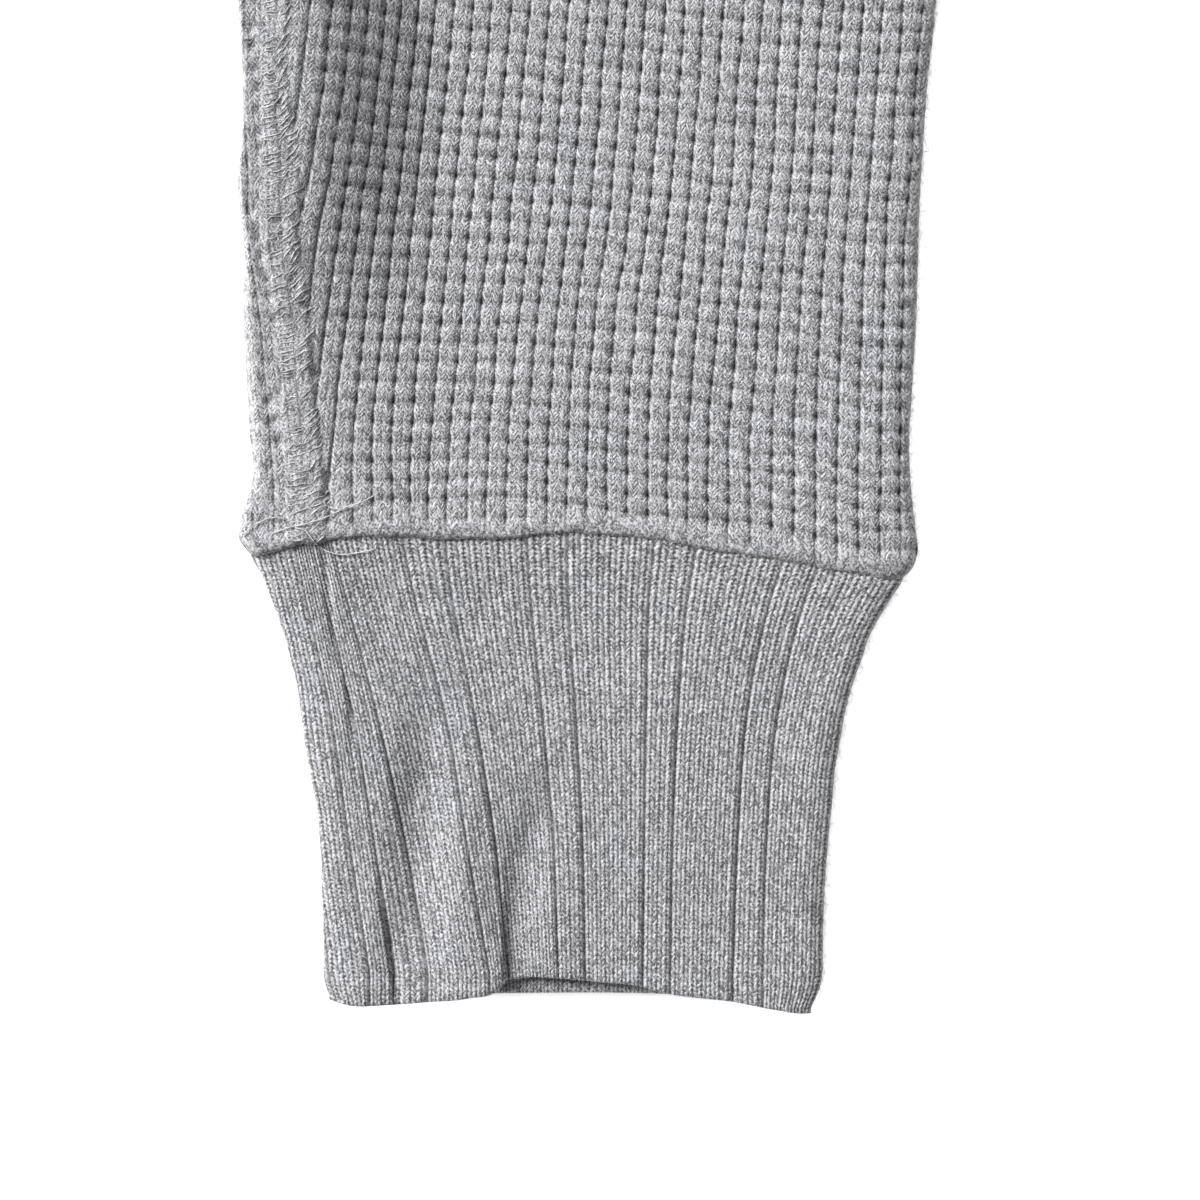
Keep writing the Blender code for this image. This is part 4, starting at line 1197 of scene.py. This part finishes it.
def panel_skin(name, neck, is_front, lines):
    """Both faces of a panel: lines run up it from the hem, fan out to the armholes, shoulders and neck,
    and crowd at every edge, where the faces round over into each other."""
    hem_x, hem_y = HEM_CORNER
    turn = np.array([0.0, 0.1, 0.4, 0.9, 1.5, 2.2, 3.0]) * mm / hem_x
    half = np.concatenate([np.linspace(0.0, NECK_SHARE, 27), np.linspace(NECK_SHARE, ARMHOLE_SHARE, 42)[1:],
                           np.linspace(ARMHOLE_SHARE, 1.0 - turn[-1], 28)[1:], 1.0 - turn[-2::-1]])
    share = np.concatenate([-half[:0:-1], half])
    foot = np.stack([share * hem_x, np.full(len(share), hem_y)], axis=1)
    top = panel_top(share, neck)
    length = np.linalg.norm(top - foot, axis=1)
    from_foot = np.array([0.0, 0.12, 0.4, 1.1, 2.2])[:, None] * mm
    from_top = np.array([4.0, 2.5, 1.6, 0.8, 0.25, 0.0])[:, None] * mm
    part = np.linspace(0.0, 1.0, lines)[1:-1, None]
    between = from_foot[-1] + part * (length - from_top[0] - from_foot[-1])
    travelled = np.concatenate([from_foot + 0.0 * length, between, length - from_top])
    plan = foot + (travelled / length)[..., None] * (top - foot)
    x, y = plan[..., 0], plan[..., 1]

    side_line = hem_x + (y - hem_y) / (UNDERARM[1] - hem_y) * (UNDERARM[0] - hem_x)
    from_side = np.hypot(np.maximum(side_line - np.abs(x), 0.0), np.maximum(y - UNDERARM[1], 0.0))
    side = np.abs(share)
    at_shoulder = (ease(side, NECK_SHARE - 0.01, NECK_SHARE + 0.03)
                   * (1.0 - ease(side, ARMHOLE_SHARE - 0.04, ARMHOLE_SHARE + 0.01)))
    folded = np.maximum(at_shoulder, ease(side, 0.975, 1.0))
    half_wall = WAFFLE_WALL / 2.0
    cut_rim = 2.0 * HALF_HEIGHT - half_wall if is_front else half_wall
    top_rim = cut_rim + folded * (HALF_HEIGHT - cut_rim)
    top_radius = (half_wall + folded * (HALF_HEIGHT - half_wall)) * np.ones(x.shape)
    edges = ((from_side, HALF_HEIGHT, HALF_HEIGHT), (length - travelled, top_rim, top_radius),
             (travelled, cut_rim, half_wall))
    outer_face = front_height(x, y) if is_front else 0.0 * x
    inner_face = outer_face - WAFFLE_WALL if is_front else outer_face + WAFFLE_WALL
    outer, inner = (raised(plan, turned_edges(face, edges)) for face in (outer_face, inner_face))
    knit = np.stack(wavering(x / COLUMN_PITCH, -y / ROW_PITCH), axis=-1)
    return two_faced_mesh(name, outer, inner, knit, is_front)


front = add_piece(panel_skin("front_cloth", FRONT_NECK, True, 165), WAFFLE_KNIT, "waffle_knit", "front")
back = add_piece(panel_skin("back_cloth", BACK_NECK, False, 100), WAFFLE_KNIT, "waffle_knit", "back")

# ------------------------------------------------------------------ neckband
# A doubled strip of fine rib, joined into a ring and sewn to the neck edge. It lies folded at both
# shoulders, its front half on top.
BAND_WALL = 1.9 * mm
# how far into the neck opening the lines round the band lie
BAND_LINES = np.array([0.3, 0.5, 0.9, *np.linspace(1.6, 20.4, 12), 21.1, 21.5, 21.8, 22.0]) * mm
BAND_HEIGHTS = (0.95 * mm, 3.45 * mm)               # middle of its back half and of its front half
FOLD_CENTRE, FOLD_RADIUS = 2.2 * mm, 1.25 * mm


def neckband_skin(name):
    """The band's section, flat with a round fold, carried round the neck. At a shoulder the section
    turns half round about the fold's centre."""
    outer, inner = BAND_LINES[0], BAND_LINES[-1]
    half_wall = BAND_WALL / 2.0
    offset = half_wall * rounded(inner - BAND_LINES, half_wall) * rounded(BAND_LINES - outer, 0.6 * mm)
    inset, offset = np.append(BAND_LINES, BAND_LINES[-2:0:-1]), np.append(offset, -offset[-2:0:-1])

    def half(neck, height, facing, side):
        """From the shoulder to the middle, on one side."""
        start = FOLD_CENTRE / (3.0 * neck[1])
        plan = neck_edge(neck, np.linspace(start, 1.0, 70)[:, None], inset) * (side, 1.0)
        return raised(plan, np.broadcast_to(height + facing * offset, plan.shape[:2]))

    def fold(side):
        """Half round the fold's centre at one shoulder."""
        turn = np.radians(np.linspace(0.0, 180.0, 13))[1:-1, None]
        centre = NECK_POINT - inset[:, None] * SHOULDER_WAY - FOLD_CENTRE * SHOULDER_OUT
        reach = (FOLD_RADIUS + offset) * np.sin(turn)
        plan = (centre + reach[..., None] * SHOULDER_OUT) * (side, 1.0)
        return raised(plan, FOLD_CENTRE + (FOLD_RADIUS + offset) * np.cos(turn))

    low, high = BAND_HEIGHTS
    points = np.concatenate([
        half(FRONT_NECK, high, 1.0, 1.0), half(FRONT_NECK, high, 1.0, -1.0)[-2::-1], fold(-1.0),
        half(BACK_NECK, low, -1.0, -1.0), half(BACK_NECK, low, -1.0, 1.0)[-2::-1], fold(1.0)[::-1]])
    middle = points[:, 8]
    wales = travel(np.concatenate([middle, middle[:1]])) / WALE_PITCH
    courses = np.append(inset, inset[:1]) / COURSE_PITCH
    knit = np.stack(np.broadcast_arrays(wales[:, None], courses + 50.0), axis=-1)
    return cloth_mesh(name, points[::-1], knit[::-1], closed=(True, True))


neckband = add_piece(neckband_skin("neckband_rib"), RIB_KNIT, "rib_knit", "neckband")

# ------------------------------------------------------------------ seams and stitches
# Flatlock seams in spun polyester thread: slanting rungs in two columns over each join, held by rows
# of needle thread. The hems have two rows of cover stitch. Thread ends are left loose at the cuff.
THREAD_RADIUS, END_RADIUS, COVER_RADIUS, FIBRE_RADIUS = 0.13 * mm, 0.11 * mm, 0.2 * mm, 0.022 * mm
THREAD_ROUGHNESS = 0.8
THREAD_SPAN = (0.36, 0.64)                          # of the noise, from all dark to all light
TWIST_SLANT, TWIST_DEPTH = 1.6, 0.02 * mm


def thread_material(name, dark, light):
    """Spun thread. UV runs along it, in steps, and once round it: a fine twist, and uneven grey."""
    material, tree = new_material(name, THREAD_ROUGHNESS)
    length, around = knit_counts(tree)
    turns = times_plus(length, TWIST_SLANT, around)
    twist = sums("SINE", times(turns, 2.0 * math.pi))
    place = add_node(tree, "ShaderNodeTexCoord").outputs["Object"]
    shade = add_node(tree, "ShaderNodeValToRGB", noise(tree, place, 900.0, 2.0, 0.6))
    for stop, position, grey in zip(shade.color_ramp.elements, THREAD_SPAN, (dark, light)):
        stop.position, stop.color = position, (grey, grey, 1.02 * grey, 1.0)
    bump = times(twist, TWIST_DEPTH)
    finish_surface(tree, shade.outputs["Color"], bump, Sheen_Weight=0.2)
    return material


SEAM_THREAD = thread_material("seam_thread", 0.28, 0.68)
LOOSE_THREAD = thread_material("loose_thread", 0.4, 0.8)

SIDES = 4                                           # of a thread's section


def thread_mesh(name, paths, radius, mirror):
    """Joined threads: a ring of points about each point of each path, square to the path, with flat
    ends. paths is (threads, points, 3)."""
    ahead = np.gradient(paths, axis=1)
    ahead /= np.maximum(np.linalg.norm(ahead, axis=2, keepdims=True), 1e-12)
    sideways = np.cross(ahead, (0.05, 0.03, 1.0))
    sideways /= np.maximum(np.linalg.norm(sideways, axis=2, keepdims=True), 1e-12)
    over = np.cross(sideways, ahead)
    angle = np.linspace(0.0, 2.0 * math.pi, SIDES, endpoint=False)[:, None]
    ring = np.cos(angle) * sideways[:, :, None] + np.sin(angle) * over[:, :, None]
    points = paths[:, :, None] + np.broadcast_to(radius, paths.shape[:2])[..., None, None] * ring
    threads, length = paths.shape[:2]
    first = (np.arange(threads) * length * SIDES)[:, None, None]
    step, around = np.arange(length - 1)[:, None] * SIDES, np.arange(SIDES)
    after = (around + 1) % SIDES
    walls = np.stack([first + step + around, first + step + SIDES + around, first + step + SIDES + after,
                      first + step + after], axis=-1).reshape(-1, 4)
    ends = np.concatenate([first + around, first + (length - 1) * SIDES + around[::-1]]).reshape(-1, SIDES)
    travelled = np.arange(length)[:, None] * np.ones(SIDES)
    place = np.stack(np.broadcast_arrays(travelled, around / SIDES), axis=-1)
    place = np.broadcast_to(place, (threads, length, SIDES, 2)).reshape(-1, 2)
    corners = np.concatenate([walls, ends])
    if mirror < 0.0:
        corners = corners[:, ::-1]
    return quad_mesh(name, points.reshape(-1, 3) * (mirror, 1.0, 1.0), corners, place[corners])


# columns: start and end of a rung across the seam, in its half widths, then its rise along it and its
# height in mm: a ladder of level rungs, and a column of steep ones beside it
UNDERARM_RUNGS = ((-0.9, 0.12, -0.5, 0.1), (0.1, 1.0, -2.0, 0.12))
BODY_RUNGS = ((-1.0, -0.04, -1.6, 0.24), (0.04, 1.0, -1.6, 0.24))
NEEDLE_ARCH = 0.18 * mm                             # of a needle thread over the cloth
RUNG_SHAKE, NEEDLE_SHAKE = 0.16 * mm, 0.12 * mm     # of their points, by chance
SUNK = 0.08 * mm                                    # of a thread's middle at its ends


def flatlock(centre, half, pitch, rungs, needle_lines, kept, seed):
    """Paths of a flatlock seam's rungs and needle threads over its flat centre line. A rung crosses
    part of the seam on a bent slant and arches up, and only the share kept of them shows through the
    nap; a needle thread is a short stitch along the line. Returns the flat paths and their lift."""
    travelled = travel(centre)
    random = np.random.default_rng(seed)
    at = np.arange(pitch, travelled[-1] - pitch, pitch)
    at = at + random.normal(0.0, 0.12 * pitch, len(at))
    line = at_travel(centre, travelled, at)[:, None]
    half = np.interp(at, travelled, np.broadcast_to(half, travelled.shape))[:, None]
    ahead = at_travel(centre, travelled, at + pitch)[:, None] - line
    ahead /= np.linalg.norm(ahead, axis=2, keepdims=True)
    across = ahead[..., ::-1] * (-1.0, 1.0)
    q = np.linspace(0.0, 1.0, 6)
    flat, lift = [], []
    for start, end, rise, crown in rungs:
        shown = random.uniform(0.0, 1.0, len(at)) < kept
        place = start + (end - start) * q + random.normal(0.0, 0.1, (len(at), 1))
        bend = random.uniform(0.7, 2.0, (len(at), 1))
        slant = rise * mm * random.uniform(0.5, 1.4, (len(at), 1))
        along = slant * (q ** bend - 0.5) + random.normal(0.0, RUNG_SHAKE, (len(at), 6))
        rung = line + (half * place)[..., None] * across + along[..., None] * ahead
        arch = crown * mm * np.sin(math.pi * q) * random.uniform(0.1, 1.4, (len(at), 1))
        flat.append(rung[shown])
        lift.append((arch - SUNK)[shown])
    for place in needle_lines:
        along = pitch * 0.9 * (q - 0.5) + 0.0 * at[:, None]
        sway = place * half + random.normal(0.0, NEEDLE_SHAKE, (len(at), 6))
        flat.append(line + sway[..., None] * across + along[..., None] * ahead)
        lift.append(NEEDLE_ARCH * np.sin(math.pi * q) - SUNK + 0.0 * along)
    return np.concatenate(flat), np.concatenate(lift)


def over_sleeve(flat, lift):
    """Points lifted off the sleeve, from its own flat frame."""
    along, across = flat[..., 0], flat[..., 1]
    return raised(on_sleeve(along, across), sleeve_height(along, across) + lift)


def over_front(flat, lift):
    """Points lifted off the front, from their places in plan."""
    return raised(flat, front_height(flat[..., 0], flat[..., 1]) + lift)


def add_threads(name, paths, radius=THREAD_RADIUS, mirror=1.0, material=SEAM_THREAD):
    """A piece of joined threads, four-sided, which rides with the waffle knit."""
    return add_piece(thread_mesh(name, paths, radius, mirror), material, "waffle_knit")


band_along = np.linspace(-340 * mm, 3 * mm, 240)
band_line, band_half = np.stack([band_along, band_at(band_along)[0]], axis=1), band_at(band_along)[1]


def underarm_threads(part, pitch, kept, seed):
    """Rungs of the underarm seam over a part of its line."""
    return over_sleeve(*flatlock(band_line[part], band_half[part], pitch, UNDERARM_RUNGS, (), kept, seed))


CLOSE_PITCH, WIDE_PITCH, BODY_PITCH = 0.74 * mm, 1.5 * mm, 1.9 * mm     # between rungs
near = band_along > CLOSE_FROM
left_threads = np.concatenate([underarm_threads(near, CLOSE_PITCH, 0.8, 21),
                               underarm_threads(~near, WIDE_PITCH, 0.9, 22)])
underarm_threads_left = add_threads("underarm_threads_left", left_threads)
right_threads = underarm_threads(slice(None), WIDE_PITCH, 0.9, 23)
underarm_threads_right = add_threads("underarm_threads_right", right_threads, mirror=-1.0)

SEAM_HALF, SEAM_INSET = 2.8 * mm, 3.6 * mm
seam_lines = [
    armhole(np.linspace(0.02, 0.98, 80)),
    np.linspace(HEM_CORNER + (-SEAM_INSET, 2 * mm), UNDERARM + (-SEAM_INSET, -4 * mm), 40),
    np.linspace(SHOULDER_TIP - SEAM_INSET * SHOULDER_OUT, NECK_POINT - SEAM_INSET * SHOULDER_OUT, 20),
    neck_edge(FRONT_NECK, np.linspace(0.03, 1.0, 60), -SEAM_HALF),
]
body_paths = np.concatenate([
    over_front(*flatlock(line, SEAM_HALF, BODY_PITCH, BODY_RUNGS, (-1.0, 1.0), 1.0, seed))
    for seed, line in enumerate(seam_lines, 30)])
body_threads_left = add_threads("body_threads_left", body_paths)
body_threads_right = add_threads("body_threads_right", body_paths, mirror=-1.0)


COVER_PITCH, COVER_LENGTH, COVER_ROWS = 3 * mm, 2.5 * mm, (16.5 * mm, 20.5 * mm)


def cover_stitches(up):
    """A row of stitches along the front's hem: each dips into the cloth at its ends."""
    end = HEM_CORNER[0] - 6 * mm
    x = np.arange(-end, end, COVER_PITCH)[:, None] + np.linspace(0.0, COVER_LENGTH, 6)
    flat = np.stack([x, np.full(x.shape, HEM_CORNER[1] + up)], axis=-1)
    dip = np.sin(np.linspace(0.0, math.pi, 6)) ** 0.5
    return over_front(flat, (0.42 * dip - 0.3) * mm + 0.0 * x)


hem_paths = np.concatenate([cover_stitches(up) for up in COVER_ROWS])
hem_stitches = add_threads("hem_stitches", hem_paths, COVER_RADIUS)

# Loose ends at the cuff seam, each given by points in mm: along, across
LOOSE_ENDS = (
    ((-0.2, -46.6), (0.2, -45.0), (1.6, -43.8), (2.9, -42.7), (3.8, -41.0), (4.2, -38.8), (3.9, -36.3),
     (3.3, -33.5)),
    ((0.6, -50.2), (-0.2, -47.7), (-0.7, -45.5), (-1.3, -43.3), (-2.2, -41.0), (-3.3, -38.8), (-3.9, -37.5),
     (-4.1, -36.4)),
    ((1.2, -55.2), (0.4, -54.6), (-0.4, -53.7), (-1.0, -52.7), (-1.6, -51.4), (-1.9, -50.2), (-1.9, -49.2),
     (-1.6, -48.3)),
    ((-5.9, -33.0), (-5.1, -34.4), (-4.3, -36.0), (-3.6, -37.6), (-3.3, -39.1), (-3.4, -40.4),
     (-3.9, -41.4), (-4.6, -41.9)),
)


def on_cloth(along, across):
    """Height of the sleeve or the cuff at a point, whichever is higher."""
    return np.maximum(sleeve_height(along, across), cuff_height(along, across))


def loose_end_paths():
    """Each loose end as a smooth line through its points, just clear of the cloth."""
    given, fine = np.arange(8.0), np.linspace(0.0, 7.0, 40)
    along, across = (np.stack([smooth_line(given, end[:, axis], fine) for end in np.array(LOOSE_ENDS) * mm])
                     for axis in (0, 1))
    lift = 0.24 * mm + 0.16 * mm * np.sin(fine * 2.1) ** 2
    return raised(on_sleeve(along, across), on_cloth(along, across) + lift)


loose_ends = add_threads("loose_thread_ends", loose_end_paths(), END_RADIUS, material=LOOSE_THREAD)


CUFF_FROM = 5 * mm                                  # along: beyond here the cuff's edges show
FIBRES_FROM, FIBRES_TO = -92 * mm, 78 * mm          # along, at the edges; a little less on the cloth
EDGE_FIBRES, LYING_FIBRES = 1400, 1300


def folded_edges(along):
    """Across of the two folded edges, of the sleeve or of the cuff beyond the seam."""
    pairs = zip(cuff_edges(along), sleeve_edges(along))
    return [np.where(along > CUFF_FROM, cuff, sleeve) for cuff, sleeve in pairs]


def edge_fibres(count, seed):
    """Fine fibres that stand off the sleeve's and cuff's folded edges: each starts in the edge and
    bends away from it."""
    random = np.random.default_rng(seed)
    along = random.uniform(FIBRES_FROM, FIBRES_TO, count)
    at_under = random.integers(0, 2, count) == 0
    edge = np.where(at_under, *folded_edges(along))
    away = np.where(at_under, -1.0, 1.0)
    q = np.linspace(0.0, 1.0, 4)
    reach = random.gamma(2.0, 0.3 * mm, (count, 1))
    drift = random.normal(0.0, 0.8 * mm, (count, 1))
    curl = random.normal(0.0, 0.5 * mm, (count, 1))
    across = edge[:, None] + away[:, None] * (reach * q - 0.15 * mm)
    along = along[:, None] + drift * q + curl * q ** 2
    height = HALF_HEIGHT + random.uniform(-0.9 * mm, 1.5 * mm, (count, 1))
    height = height + random.normal(0.0, 0.4 * mm, (count, 1)) * q
    return raised(on_sleeve(along, across), height)


def lying_fibres(count, seed):
    """Fine fibres that lie over the cloth near the cuff, each a short curl."""
    random = np.random.default_rng(seed)
    along = random.uniform(FIBRES_FROM + 4 * mm, FIBRES_TO - 4 * mm, count)
    low, high = folded_edges(along)
    across = low + random.uniform(0.03, 0.97, count) * (high - low)
    heading = random.uniform(0.0, 2.0 * math.pi, (count, 1))
    q = np.linspace(-1.0, 1.0, 4)
    reach, bend = random.uniform(0.6 * mm, 1.6 * mm, (count, 1)), random.normal(0.0, 0.6 * mm, (count, 1))
    along = along[:, None] + reach * q * np.cos(heading) - bend * q ** 2 * np.sin(heading)
    across = across[:, None] + reach * q * np.sin(heading) + bend * q ** 2 * np.cos(heading)
    arch = 0.2 * mm * (1.0 - q ** 2) * random.uniform(0.3, 1.0, (count, 1))
    return raised(on_sleeve(along, across), on_cloth(along, across) + 0.02 * mm + arch)


fibre_paths = np.concatenate([edge_fibres(EDGE_FIBRES, 41), lying_fibres(LYING_FIBRES, 42)])
fibres = add_threads("loose_fibres", fibre_paths, FIBRE_RADIUS, material=LOOSE_THREAD)
